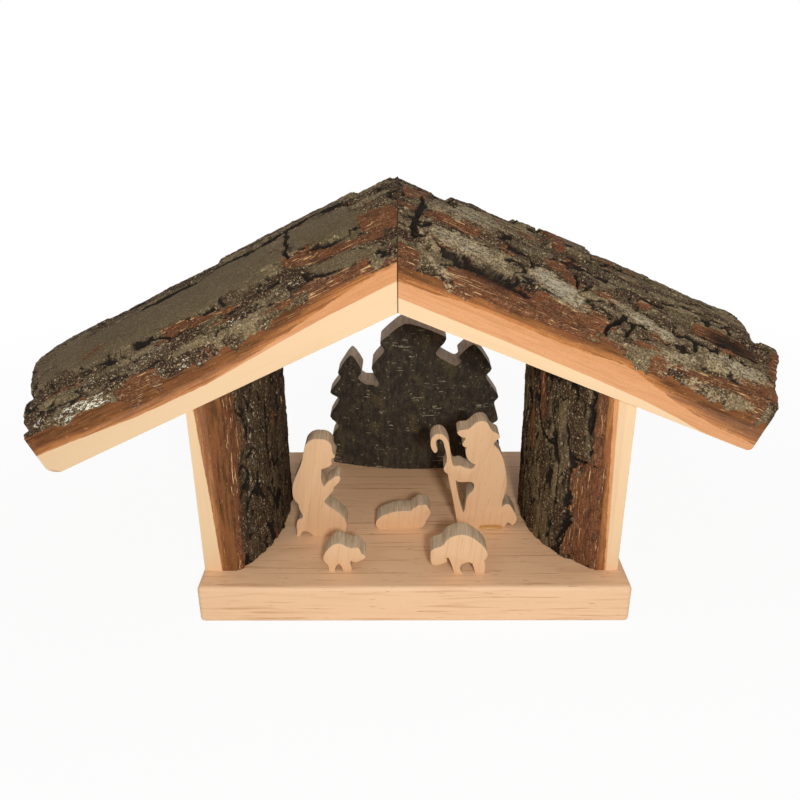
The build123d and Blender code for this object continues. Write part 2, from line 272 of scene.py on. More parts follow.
def tint(red, green, blue):
    """A colour as it looks on a screen, from 0 to 255, made linear for the shader."""
    shares = [part / 255 for part in (red, green, blue)]
    return tuple(x / 12.92 if x <= 0.04045 else ((x + 0.055) / 1.055) ** 2.4 for x in shares) + (1.0,)


print("finishes ready")

# %% [markdown]
# ## Floor and light
#
# The object is shown on plain white. A real studio would use a white sweep and large soft lamps.
# The floor here is white for the camera and for reflections, and keeps a share of its own shading,
# so that a soft shadow still shows where the board stands. A small lamp stands over the camera,
# because the photograph is lit from the front, and a wide one and the sky fill the rest.

# %% Floor
FLOOR_SIZE = 4.0
FLOOR_GLOW_SHARE = 0.93
SHADOW_NEAR = 150
SHADOW_FAR = 700
WHITE = (1.0, 1.0, 1.0, 1.0)


def white_seen(recipe):
    """1 for rays that show the background, from the camera or through gloss and glass."""
    kinds = ("Is Camera Ray", "Is Glossy Ray", "Is Transmission Ray")
    camera_ray, glossy_ray, clear_ray = [recipe.node("ShaderNodeLightPath", {}, {}, kind) for kind in kinds]
    return camera_ray | glossy_ray | clear_ray


floor_finish = Finish("floor_white")
floor_finish.done(Base_Color=tint(244, 243, 241), Roughness=0.9)
glow = floor_finish.node("ShaderNodeEmission", {}, {"Color": WHITE, "Strength": 1.0})
lit = Wire(floor_finish, floor_finish.shader.outputs[0])
away = floor_finish.vector_sum("LENGTH", {0: floor_finish.point}, "Value")
glow_share = FLOOR_GLOW_SHARE + away.rise(SHADOW_NEAR, SHADOW_FAR) * (1 - FLOOR_GLOW_SHARE)
seen_share = white_seen(floor_finish) * glow_share
shown = floor_finish.node("ShaderNodeMixShader", {}, {0: seen_share, 1: lit, 2: glow})
floor_finish.plug(floor_finish.tree.nodes["Material Output"].inputs["Surface"], shown)

floor_shape = bmesh.new()
bmesh.ops.create_grid(floor_shape, x_segments=2, y_segments=2, size=FLOOR_SIZE)
studio_floor = linked("studio_floor", mesh_from(floor_shape, "studio_floor"))
studio_floor.data.materials.append(floor_finish.material)
print("floor", 2 * FLOOR_SIZE, "m wide")

# %% Lamps and sky
SKY_LEVEL = 0.30
KEY_PLACE = Vector((0.085, -0.66, 0.385))
KEY_SIZE = 0.085
KEY_WATTS = 2.6
FILL_PLACE = Vector((-0.75, -0.65, 0.75))
FILL_SIZE = 0.7
FILL_WATTS = 0.8
LAMP_AIM = Vector((0.0, 0.0, 0.1))

world = bpy.data.worlds.new("sky")
world.use_nodes = True
sky = Recipe(world.node_tree)
background = world.node_tree.nodes["Background"]
background.inputs["Color"].default_value = WHITE
sky.plug(background.inputs["Strength"], SKY_LEVEL + white_seen(sky) * (1 - SKY_LEVEL))
bpy.context.scene.world = world


def soft_lamp(name, place, size, watts):
    data = bpy.data.lights.new(name, "AREA")
    data.shape = "DISK"
    data.size = size
    data.energy = watts
    lamp = linked(name, data)
    lamp.location = place
    lamp.rotation_euler = (LAMP_AIM - place).to_track_quat("-Z", "Y").to_euler()


soft_lamp("key_lamp", KEY_PLACE, KEY_SIZE, KEY_WATTS)
soft_lamp("fill_lamp", FILL_PLACE, FILL_SIZE, FILL_WATTS)
bpy.context.scene.view_settings.view_transform = "Standard"
print("two lamps and a sky of", SKY_LEVEL)

# %% [markdown]
# ## Slabs and their own directions
#
# Every slab was sawn off a round log. It is easiest to think in the slab's own directions: u along
# the log, v across the flat sawn face, w from the sawn face out through the bark. The same three
# directions place the vertices, steer the growth rings and decide where wood turns into bark.

# %% Slabs
FLOOR_HEIGHT = 22.5


@dataclass
class Slab(Lay):
    """A log slab: half its width, the height of its sawn edge and of its crown, its bark, its length,
    where the pale wood and the orange band end, and how much the inner bark lightens near the wood."""

    half: float
    edge: float
    crown: float
    bark: float
    length: float
    pale_line: tuple = ()
    orange_line: tuple = ()
    warm: float = 0.0

    def __post_init__(self):
        rise = self.crown - self.edge
        self.core = (self.half ** 2 + rise ** 2) / (2 * rise)
        self.centre = self.crown - self.core
        self.shell = self.core + self.bark
        self.reach = self.shell * asin(self.half / self.shell)
        print("log radius", round(self.shell, 1), "mm")

    def place(self, u, v, w):
        return (self.origin + self.along * u + self.across * v + self.out * w) * MM

    def core_height(self, v):
        return self.centre + sqrt(self.core ** 2 - v ** 2)

    def shell_height(self, v):
        return self.centre + sqrt(self.shell ** 2 - v ** 2)


print("slabs ready")

# %% [markdown]
# ## The relief of bark
#
# Old bark is built in layers. It splits along the log into plates, the plates break across, and
# thin flakes come away in steps and bare the red inner bark. A sculpted brush could draw that, and
# a displacement texture too, but a formula for the depth at each place is repeatable and can also
# say how cracked, bare or crusted that place is, and where shade is painted. Those answers are kept
# on the vertices for the finish. Places are given as u along the log and s around it, both in millimetres.

# %% Waves and steps
def ripple(u, s, long, wide, seed):
    """Smooth waves from about -1 to 1, stretched along the log."""
    return noise.noise(Vector((u / long, s / wide, seed)))


def grain(u, s, long, wide, seed, octaves=3):
    """Waves on waves, for rough surfaces."""
    return noise.fractal(Vector((u / long, s / wide, seed)), 0.9, 2.1, octaves)


def share_of(value, low, high):
    """How far a value is from low to high, from 0 to 1."""
    return min(1.0, max(0.0, (value - low) / (high - low)))


def step(value, low, high):
    share = share_of(value, low, high)
    return share * share * (3 - 2 * share)


def along_line(places, at):
    """Height at a place, from a row of (place, height) corners."""
    for (place, height), (next_place, next_height) in zip(places, places[1:]):
        if at <= next_place:
            break
    return height + (next_height - height) * share_of(at, place, next_place)


print("half a step is", step(0.5, 0, 1))


# %% Spots, cracks and flakes
def from_middle(u, s, spot):
    """Place in a spot (u, s, half length, half width, turn), with its rim at 1 along and across."""
    middle_u, middle_s, long, wide, turn = spot[:5]
    du = u - middle_u
    return du / long, (s - middle_s - turn * du) / wide


def patches(u, s, spots, ragged, seed):
    """Share of the nearest of a few spots with a ragged rim."""
    most = 0.0
    for spot in spots:
        along, across = from_middle(u, s, spot)
        far = (along ** 4 + across ** 4) ** 0.25
        if far <= 1.2 + ragged:
            most = max(most, 1 - step(far + ragged * grain(u, s, 11, 5, seed, 4), 0.9, 1.06))
    return most


def soft_patches(u, s, spots):
    """Spots with a strength at their end that fade from the middle to nothing at the rim."""
    most = 0.0
    for spot in spots:
        along, across = from_middle(u, s, spot)
        most = max(most, spot[-1] * (1 - along ** 2 - across ** 2))
    return most


def crack_distance(u, s, lines):
    """Distance, in half widths, to the nearest of a few given cracks (half width, row of corners)."""
    nearest = 1e6
    for half_width, line in lines:
        for (u0, s0), (u1, s1) in zip(line, line[1:]):
            run_u, run_s = u1 - u0, s1 - s0
            share = share_of((u - u0) * run_u + (s - s0) * run_s, 0.0, run_u ** 2 + run_s ** 2)
            away = (u - u0 - share * run_u) ** 2 + (s - s0 - share * run_s) ** 2
            nearest = min(nearest, away / half_width ** 2)
    return sqrt(nearest)


def flakes(u, s, long, wide, seed):
    """A flake's own number from 0 to 1 at a place, and how far its rim is, 0 at the rim."""
    slow_u = ripple(u, s, 0.8 * long, 1.6 * wide, seed + 0.3)
    slow_s = ripple(u, s, long, 1.5 * wide, seed + 0.9)
    fast_u = ripple(u, s, 0.22 * long, 0.5 * wide, seed + 0.6)
    fast_s = ripple(u, s, 0.22 * long, 0.5 * wide, seed + 1.2)
    bent_u = u / long + 0.4 * slow_u + 0.16 * fast_u
    bent_s = s / wide + 0.6 * slow_s + 0.3 * fast_s
    near, points = noise.voronoi(Vector((bent_u, bent_s, seed)))
    return 0.5 + 0.5 * noise.cell(points[0] * 13.7), near[1] - near[0]


print("spots, cracks and flakes ready")

# %% Bark relief
FLAKE_LONG = 17.0
FLAKE_WIDE = 5.0
STEP_CORNERS = ((-0.5, -0.4), (-0.5, 0.4), (0.5, -0.4), (0.5, 0.4))
RAGGED = 0.35
MOST_PROUD = 2.4


@dataclass
class Bark:
    """How one slab's bark is broken up, and where its special places are."""

    slab: Slab
    length: float
    courses: list
    seed: float
    plate_long: float
    plate_wide: float
    plate_step: float
    crack: float
    flake: float
    rough: float
    smooth: tuple = ()
    bare: tuple = ()
    crust: tuple = ()
    cracks: tuple = ()
    # Spots of painted shade under overhanging plates: (u, s, half length, half width, turn, strength).
    painted_shade_spots: tuple = ()
    sound: float = -0.2
    gap: float = 0.09
    red_share: float = 0.2
    overlap: tuple = ((0, 0), (1, 0))
    lift: float = 0.4
    bites: tuple = ()
    bite_seed: float = 0.0

    def plate_depth(self, u, s):
        """How deep the broad plate of bark at a place lies below the log's round, in mm."""
        for end_share, plates in self.courses:
            if u <= end_share * self.length:
                break
        for end_share, sunk_share in plates:
            if s <= end_share * self.slab.reach:
                break
        return sunk_share * self.slab.bark

    def broad_plates(self, u, s):
        """Depth of the broad plates, with ragged rims, and the height of the step at a place, in mm."""
        seed = self.seed
        u += 3.4 * ripple(u, s, 13, 8, seed + 16) + 1.2 * ripple(u, s, 3.4, 2.4, seed + 17)
        s += 2.2 * ripple(u, s, 24, 11, seed + 18) + 0.9 * ripple(u, s, 4, 2.5, seed + 19)
        depths = [self.plate_depth(u + du, s + ds) for du, ds in STEP_CORNERS]
        return sum(depths) / len(depths), max(depths) - min(depths)

    def bite(self, s):
        """How far the bark's end is broken back at a place around the log."""
        return along_line(self.bites, s) + 0.6 * ripple(0, s, 1, 2.6, self.bite_seed)

    def surface(self, u, s):
        """Depth below the log's round in mm, then shares of crack with painted shade, bare bark, crust and
        calm, and a flake's tone."""
        seed = self.seed
        calm = patches(u, s, self.smooth, RAGGED, seed + 3.1)
        bare = patches(u, s, self.bare, RAGGED, seed + 11)
        rest = 1 - max(0.85 * calm, 0.6 * bare)
        inland = step(self.slab.reach - abs(s), 1.0, 6.0)
        plate, plate_rim = flakes(u, s, self.plate_long, self.plate_wide, seed)
        flake, flake_rim = flakes(u, s, FLAKE_LONG, FLAKE_WIDE, seed + 40)
        split = inland * rest * (1 - step(plate_rim, 0.02, self.gap))
        split *= step(ripple(u, s, 24, 9, seed + 2.5), self.sound - 0.25, self.sound + 0.1)
        chink = inland * rest * (1 - step(flake_rim, 0.02, 0.14))
        chink *= step(ripple(u, s, 9, 4, seed + 2.9), -0.25, 0.15)
        bent_u = u + 3 * ripple(u, s, 9, 7, seed + 5)
        bent_s = s + 1.6 * ripple(u, s, 7, 9, seed + 6)
        far = crack_distance(bent_u, bent_s, self.cracks)
        gash = inland * (1 - step(far, 0.3, 1.1))
        shade = inland * (1 - step(far, 0.75, 1.25))
        planned, fall = self.broad_plates(u, s)
        fall = inland * step(fall, 0.7, 1.8) * step(ripple(u, s, 14, 6, seed + 3.5), -0.3, 0.1)

        depth = planned - self.lift + rest * (self.plate_step * (plate - 0.4) + self.flake * (flake - 0.4))
        depth += self.crack * (split + 1.4 * gash + 0.3 * chink)
        depth += rest * self.rough * grain(u, s, 6, 1.6, seed + 7.7)
        depth += (0.25 + 0.75 * rest) * 0.45 * self.rough * grain(u, s, 2.2, 1.4, seed + 8.8)
        depth += calm * 0.4 * ripple(u, s, 40, 14, seed + 2.2)

        red_flake = rest * step(flake * 7.31 % 1.0, 1 - self.red_share, 1.02 - self.red_share)
        red = max(bare, red_flake * step(ripple(u, s, 30, 12, seed + 14), -0.1, 0.1))
        # The crack layer also carries painted shade: the dark band round each crack, shade under the steps
        # between broad plates, and the spots of painted shade.
        lines = max(split, shade, 0.5 * fall, 0.75 * chink, soft_patches(u, s, self.painted_shade_spots))
        tone = 0.5 + rest * (0.5 * (plate - 0.5) + 0.9 * (flake * 3.77 % 1.0 - 0.5)) - 0.1 * planned
        return max(-MOST_PROUD, depth), lines, red, soft_patches(u, s, self.crust), calm, tone


print("bark relief ready")

# %% [markdown]
# ## A sheet of bark
#
# The bark of a slab is one thick sheet: a rounded outside, two sawn sides and an inside that sits on
# the wood. It starts as one flat grid. Its columns climb the front side, cross the round and go down
# the back side, and its rows run along the log. A copy of the grid is then laid on the wood's round,
# and merging the shared rims closes the sheet. Saw cuts are made with planes afterwards.

# %% Sheet of bark
LAYERS = ("crack", "bare", "crust", "calm", "tone", "sawn")
MERGE = 1e-7
EAVE_ROUND = 16.0
RIM_ROUND = 2.6
RIM_DROP = 0.6
FOOT_SHARE = 0.15
APRON_STEPS = 10
APRON_BARE = 0.8
LEAST_THICK = 1.2
SAME_FACE = radians(0.1)


def everything(shape):
    return shape.verts[:] + shape.edges[:] + shape.faces[:]


def profile_columns(slab, side_steps, round_steps):
    """Columns across a sheet: (how far up a sawn side, place across, place around the log)."""
    columns = [(number / side_steps, -slab.half, -slab.reach) for number in range(side_steps)]
    for number in range(round_steps + 1):
        s = slab.reach * (2 * number / round_steps - 1)
        columns.append((1.0, slab.shell * sin(s / slab.shell), s))
    columns += [(1 - (number + 1) / side_steps, slab.half, slab.reach) for number in range(side_steps)]
    return columns


def bark_point(bark, u, v, s, climb, down, end):
    """Place of a point of the sheet's outside and the values of its layers. climb is how far up a sawn
    side it is, and down how far down the broken end."""
    slab = bark.slab
    inside = slab.core_height(v)
    depth, crack, bare, crust, calm, tone = bark.surface(u, s)
    rim = 1 - step(slab.reach - abs(s), 0.0, RIM_ROUND)
    depth += RIM_DROP * rim
    if bark.bites:
        bite = bark.bite(s)
        near_end = step(u, end - EAVE_ROUND, end)
        depth += near_end ** 3 * (0.5 + 0.3 * max(0.0, bite) - 0.5 * max(0.0, depth))
        u -= climb * bite * near_end
        u += (end - u) * down ** 2
    tilt = cos(asin(v / slab.shell))
    thick = max(LEAST_THICK, slab.shell_height(v) - depth / tilt - inside)
    w = inside + thick * climb * (1 - down)
    skin = 1.0
    if climb < 1:
        below = thick * (1 - climb)
        overlap = along_line(bark.overlap, u) * (1 + 0.9 * grain(u, 0.0, 9, 1, bark.seed + 31))
        skin = 1 - step(below, overlap - 0.5, overlap + 0.5)
        rim = skin * (1 - 0.6 * step(below, 0.0, max(0.5, overlap)))
    chip = rim * (0.9 + 0.8 * grain(u, w, 5, 2, bark.seed + 21)) * (1 - down)
    chip *= min(1.0, climb / FOOT_SHARE)
    v *= 1 - max(0.0, chip) / slab.half
    return slab.place(u, v, w), (crack, APRON_BARE if down > 0 else bare, crust, calm, tone, 1 - skin)


def bark_sheet(bark, start, end, spacing):
    """A closed sheet of bark from start to end along the log, with a broken end where the bark has bites."""
    slab = bark.slab
    side_steps = round((slab.shell_height(slab.half) - slab.edge) / spacing)
    columns = profile_columns(slab, side_steps, round(2 * slab.reach / spacing))
    main_rows = round((end - start) / spacing)
    rows = main_rows + (APRON_STEPS if bark.bites else 0)

    shape = bmesh.new()
    layers = [shape.verts.layers.float.new(name) for name in LAYERS]
    bmesh.ops.create_grid(shape, x_segments=rows, y_segments=len(columns) - 1, size=0.5)
    grid = []
    for vert in shape.verts:
        row = round((vert.co.x + 0.5) * rows)
        column = round((vert.co.y + 0.5) * (len(columns) - 1))
        grid.append((vert, row, columns[column]))
    copy = bmesh.ops.duplicate(shape, geom=everything(shape))

    inner = []
    for vert, row, (climb, v, s) in grid:
        u = start + (end - start) * min(row, main_rows) / main_rows
        down = max(0, row - main_rows) / APRON_STEPS
        under = copy["vert_map"][vert]
        under.co = slab.place(u, v, slab.core_height(v))
        under[layers[-1]] = 1.0
        inner.append(under)
        vert.co, values = bark_point(bark, u, v, s, climb, down, end)
        for layer, value in zip(layers, values):
            vert[layer] = value

    bmesh.ops.remove_doubles(shape, verts=inner, dist=MERGE)
    inner = [vert for vert in inner if vert.is_valid]
    inner_edges = list(dict.fromkeys(edge for vert in inner for edge in vert.link_edges))
    inner_verts = [vert for vert in inner if not vert.is_boundary]
    bmesh.ops.dissolve_limit(shape, angle_limit=SAME_FACE, use_dissolve_boundaries=False,
                             verts=inner_verts, edges=inner_edges)
    bmesh.ops.remove_doubles(shape, verts=shape.verts[:], dist=MERGE)
    return shape


print("bark sheet ready")

# %% Saw cuts and pieces
SHARP_ANGLE = radians(48)
SAWN_ANGLE = radians(25)


def saw(shape, place, outward):
    """Cuts away what lies beyond a plane and closes the cut."""
    cut = bmesh.ops.bisect_plane(shape, geom=everything(shape), dist=MERGE, plane_co=place,
                                 plane_no=outward, clear_outer=True)
    rim = [item for item in cut["geom_cut"] if isinstance(item, bmesh.types.BMEdge)]
    bmesh.ops.holes_fill(shape, edges=[edge for edge in rim if edge.is_boundary], sides=0)


def piece_from(shape, name, material, body, node, sharp=SHARP_ANGLE):
    """Turns a finished shape into a piece of the object that stands for a CAD node."""
    bmesh.ops.recalc_face_normals(shape, faces=shape.faces[:])
    open_edges = sum(not edge.is_manifold for edge in shape.edges)
    mesh = mesh_from(shape, name)
    mesh.shade_smooth()
    mesh.set_sharp_from_angle(angle=sharp)
    mesh.materials.append(material)
    piece = linked(name, mesh)
    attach(piece, body)
    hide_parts(node)
    mesh.calc_loop_triangles()
    print(name, len(mesh.loop_triangles), "triangles,", open_edges, "open edges")


print("saw ready")

# %% [markdown]
# ## Finish of sawn wood and bark
#
# On the sawn front of a slab the layers of the tree lie one over the other: pale wood, an orange
# band under the bark, the fibrous brown inner bark, then the weathered skin. The bands belong to the
# slab and not to one piece of it, so wood and bark share one recipe, which reads the height over the
# sawn face. Rings are circles round the log's middle, so they show as lines on a long face and as
# arcs on an end.

# %% Rings and bands
def ring_wood(finish, centre, gap, pale, slow_tone, ring, depth):
    """Colour and pores of wood with growth rings round a middle line and slow changes of tone."""
    sway = finish.waves(70, 22) * (2.2 * gap)
    away = ((finish.v - centre[0]) ** 2 + (finish.w - centre[1]) ** 2) ** 0.5 + sway
    turn = away / gap % 1.0
    late = turn.rise(0.72, 0.95) * (1 - turn.rise(0.96, 1.0))
    pores = finish.waves(14, 0.55, 3.0, 0.6)
    slow = finish.waves(55, 9)
    mark = late * slow.rise(0.3, 0.7) * depth + pores.rise(0.56, 0.78) * (depth * 0.6)
    shade = finish.mix(slow, pale, slow_tone)
    return finish.coats(pale, (slow.rise(0.25, 0.85) * 0.35, shade), (mark, ring)), pores


def log_bands(finish, slab):
    """Shares of orange and of brown by height over the sawn face, with ragged limits, and the height
    in the brown."""
    u, w = finish.u, finish.w
    fray = finish.noise(finish.vector(u / 11, w / 9, 0.0), 3.0, 0.6) * 2.4 - 1.2
    wave = finish.noise(finish.vector(u / 3.2, w / 30, 4.0)) - 0.5
    pale_top = finish.line(u, slab.length, slab.pale_line)
    orange_top = finish.line(u, slab.length, slab.orange_line) + fray
    orange = (w - pale_top - wave * 0.3).rise(-0.2, 0.3)
    brown = (w - orange_top - wave).rise(-0.3, 0.3)
    return orange, brown * orange, w - orange_top


print("rings and bands ready")

# %% Sawn wood
PALE_WOOD = tint(245, 210, 166)
PALE_LINE = tint(236, 194, 146)
ORANGE_WOOD = tint(228, 164, 112)
ORANGE_DEEP = tint(204, 138, 88)
INNER_LIGHT = tint(206, 136, 78)
INNER_BARK = tint(142, 92, 52)
INNER_DEEP = tint(92, 58, 32)
# Golden fibres of the inner bark, with painted glints among them.
GOLD_FIBRE_AND_GLINT = tint(240, 196, 136)
SHEET_RED = tint(138, 84, 52)
SEAM_AMBER = tint(74, 44, 22)
SEAM_HALF = 0.35
RING_GAP = 3.4
RIDGE_PLACE = Vector((-7.5, -0.4, 169.8))


def ridge_seam(finish, colour):
    """The thin amber line of glue where the two roof slabs meet."""
    away = finish.dot(finish.point, RIGHTWARD) - RIDGE_PLACE.x
    share = 1 - (away * away).rise(0.3 * SEAM_HALF ** 2, SEAM_HALF ** 2)
    return finish.mix(share * 0.9, colour, SEAM_AMBER)


def sawn_layers(finish, slab):
    """Colour and relief of the sawn faces of a slab, from pale wood to inner bark."""
    wood = ring_wood(finish, (0.0, slab.centre), RING_GAP, PALE_WOOD, PALE_LINE, PALE_LINE, 0.3)[0]
    orange, brown, rise = log_bands(finish, slab)
    streak = finish.waves(16, 0.9, 4.0, 0.65)
    speckle = finish.waves(1.1, 0.6, 2.0, 0.6)
    clouds = finish.waves(20, 3, 3.0, 0.6)
    sheets = finish.waves(46, 1.5, 2.0, 0.6)
    dashes = finish.waves(2.2, 0.4, 1.0)
    hairs = finish.waves(9, 0.38, 2.0, 0.6, 0.4)
    ply = sheets.rise(0.42, 0.44) * (1 - sheets.rise(0.44, 0.46))
    # Golden fibres of the inner bark, partly painted glints.
    gold_and_glint = dashes.rise(0.68, 0.76) | hairs.rise(0.66, 0.74) * clouds.rise(0.42, 0.6)
    blush = finish.coats(
        ORANGE_WOOD,
        (streak.rise(0.4, 0.75) * 0.6, ORANGE_DEEP),
        (speckle.rise(0.5, 0.7) * 0.5, ORANGE_DEEP),
    )
    fibre = finish.coats(
        INNER_BARK,
        ((clouds + streak * 0.4).rise(0.55, 0.85), INNER_DEEP),
        ((1 - (rise + clouds * 3).rise(2.0, 7.0)) * slab.warm, INNER_LIGHT),
        (sheets.rise(0.5, 0.56) * 0.7, SHEET_RED),
        (ply * 0.5, INNER_DEEP),
        (speckle.rise(0.55, 0.7) * 0.45, INNER_DEEP),
        (gold_and_glint * 0.75, GOLD_FIBRE_AND_GLINT),
    )
    return ridge_seam(finish, finish.coats(wood, (orange, blush), (brown, fibre))), streak + speckle * 0.5


def slab_wood_finish(name, slab):
    finish = Finish(name, slab)
    colour, streak = sawn_layers(finish, slab)
    relief = finish.bump(streak * 0.6 + finish.waves(1.1, 30) * 0.4, 0.25, 0.3)
    return finish.done(Base_Color=colour, Roughness=0.62 + streak * 0.16, Normal=relief)


print("sawn wood ready")

# %% Weathered bark
BARK_CHOCOLATE = tint(58, 38, 27)
BARK_DARK = tint(82, 62, 44)
BARK_GREY = tint(116, 100, 74)
BARK_LIGHT = tint(154, 132, 98)
BARK_PALE = tint(206, 182, 142)
BARK_OLIVE = tint(94, 82, 52)
BARE_RED = tint(92, 54, 34)
BARE_BROWN = tint(138, 85, 53)
# Near black for cracks and for the painted shade that shares their layer.
CRACK_AND_SHADE_BLACK = tint(20, 14, 10)
CRUST_WASH = tint(196, 174, 134)
CRUST_PALE = tint(250, 244, 220)
# Colour of the painted shade on bark inside the stable.
SHADE_BROWN = tint(52, 37, 24)
BARK_TONES = [(0.16, BARK_CHOCOLATE), (0.36, BARK_DARK), (0.54, BARK_GREY), (0.78, BARK_LIGHT)]
BARK_SHEEN = 0.15
CRUST_START = 0.1
SHADE_QUIET = 0.65


def bark_finish(name, slab, lichen=0.0, painted_shade=0.0):
    """Weathered bark. lichen turns white flecks into a pale wash, and the last share is painted shade on
    bark inside the stable: darker, browner and with fewer flecks."""
    finish = Finish(name, slab)
    waves = finish.waves
    crack, bare, crust, calm, tone, sawn = [finish.attribute(layer) for layer in LAYERS]
    mottle = waves(7, 3, 5.0, 0.7)
    streak = waves(11, 0.9, 4.0, 0.7)
    grit = waves(1.15, 1.0, 3.0, 0.75)
    speck = waves(0.62, 0.55, 1.0, 0.6)
    dots = waves(1.3, 1.2, 0.0)
    drift = waves(28, 13)
    strand = waves(9, 0.7, 4.0, 0.7)
    hairs = waves(12, 0.75, 2.0, 0.6, 0.4)
    cluster = waves(9, 3.4, 4.0, 0.7)
    clump = waves(2.4, 1.3, 3.0, 0.75)
    grains = grit * 0.65 + speck * 0.5
    wild = 1 - (calm * 0.45 | bare * 0.5)
    plain = calm | bare * 0.8
    pepper = 1 - SHADE_QUIET * painted_shade

    red = finish.coats(
        BARE_RED,
        (strand.rise(0.32, 0.66), BARE_BROWN),
        (mottle.rise(0.48, 0.64) * 0.65, BARK_CHOCOLATE),
        # Golden fibres on the bare inner bark, partly painted glints.
        (hairs.rise(0.61, 0.66) * drift.rise(0.36, 0.48) * 0.9, GOLD_FIBRE_AND_GLINT),
    )
    crust_limit = 0.62 - CRUST_START * (1 - lichen)
    covered = (crust * (0.1 + lichen * 0.34) + cluster - crust_limit).rise(0.0, 0.08) * crust.rise(0.0, 0.15)
    wash = finish.mix((grit * 0.7 + mottle * 0.4).rise(0.46, 0.66), BARK_DARK, CRUST_WASH)
    flecks = (clump * 0.75 + speck * 0.25 + crust * 0.17).rise(0.64, 0.69)
    colour = finish.coats(
        finish.ramp(tone * 0.55 + mottle * 0.6 + streak * 0.4 - 0.28, BARK_TONES),
        (calm * 0.6, BARK_GREY),
        (drift.rise(0.5, 0.7) * 0.5, BARK_OLIVE),
        # Painted shade on the walls' bark inside the stable.
        (painted_shade, SHADE_BROWN),
        ((bare + grit * 0.5 + mottle * 0.4 - 0.45).rise(0.3, 0.55) * 0.95, red),
        (grains.rise(0.60, 0.76) * wild * (0.7 * pepper), BARK_PALE),
        ((0.555 - grains).rise(0.0, 0.13) * wild * (0.8 * pepper), CRACK_AND_SHADE_BLACK),
        (dots.rise(0.70, 0.76) * (1 - plain) * (0.8 * pepper), BARK_PALE),
        (covered * (0.12 + lichen * 0.78), wash),
        (flecks * covered * (1 - lichen * 0.7), CRUST_PALE),
        # Cracks, and the painted shade that shares their layer, are painted near black.
        ((crack + grit * 0.4 - 0.2).rise(0.3, 0.8) * 0.95, CRACK_AND_SHADE_BLACK),
        (sawn.rise(0.3, 0.7), sawn_layers(finish, slab)[0]),
    )
    height = grit * 0.45 * wild + speck * 0.2 + mottle * 0.7 + streak * 0.7
    return finish.done(Base_Color=ridge_seam(finish, colour), Roughness=0.66 + mottle * 0.24,
                       Specular_IOR_Level=BARK_SHEEN, Normal=finish.bump(height, 0.7, 1.0))


print("weathered bark ready")

# %% [markdown]
# ## Roof
#
# The left slab carries one broad smooth plate high up, split by a black crack, and breaks down to the
# front in steps with a white crust near the eave. The right slab is rougher, with pale crusted plates
# and red inner bark where flakes are gone. The broad shapes are listed and the rest is left
# to the relief.

# %% Roof slabs
ROOF_HALF = 66.0
ROOF_BARK = 9.3
ROOF_WARM = 0.95
LEFT_PITCH = radians(25.8)
RIGHT_PITCH = radians(22.6)


def roof_slab(pitch, side, edge, crown, length, pale_line, orange_line):
    along = Vector((side * cos(pitch), 0, -sin(pitch)))
    out = Vector((side * sin(pitch), 0, cos(pitch)))
    return Slab(RIDGE_PLACE, along, BACKWARD, out, ROOF_HALF, edge, crown, ROOF_BARK, length,
                pale_line, orange_line, ROOF_WARM)


left_roof = roof_slab(
    LEFT_PITCH, -1, edge=13.5, crown=42.5, length=200.0,
    pale_line=[(0, 14), (30, 13.4), (60, 11.6), (100, 8.6), (140, 9.0), (180, 12), (200, 13)],
    orange_line=[(0, 21.5), (20, 19.5), (45, 15.5), (70, 12.2), (100, 8.8), (140, 9.0), (180, 12), (200, 13)],
)
right_roof = roof_slab(
    RIGHT_PITCH, 1, edge=13.0, crown=41.0, length=193.0,
    pale_line=[(0, 7), (60, 6.4), (100, 5.6), (130, 4.4), (150, 2.4), (165, 0.2), (193, 0.1)],
    orange_line=[(0, 14.5), (30, 16.6), (90, 15.8), (112, 17.6), (124, 15.0), (140, 10.5), (165, 6.0),
                 (193, 4.0)],
)

# %% Left roof bark
left_roof_courses = [
    (-0.09, [(-0.3, 0.3), (1, 0.5)]),
    (0.02, [(-0.62, 0.24), (-0.2, 0.12), (1, 0.3)]),
    (0.2, [(-0.77, 0.14), (-0.63, 0.3), (-0.12, 0.04), (0.42, 0.08), (1, 0.15)]),
    (0.42, [(-0.8, 0.1), (-0.69, 0.24), (-0.17, 0.04), (0.28, 0.1), (1, 0.16)]),
    (0.65, [(-0.8, 0.1), (-0.69, 0.24), (-0.23, 0.08), (0.28, 0.3), (1, 0.2)]),
    (0.82, [(-0.83, 0.07), (-0.66, 0.22), (-0.28, 0.15), (0.14, 0.42), (1, 0.3)]),
    (0.97, [(-0.8, 0.1), (-0.66, 0.22), (-0.2, 0.08), (0.28, 0.24), (1, 0.2)]),
    (1, [(-0.66, 0.2), (0.28, 0.26), (1, 0.3)]),
]
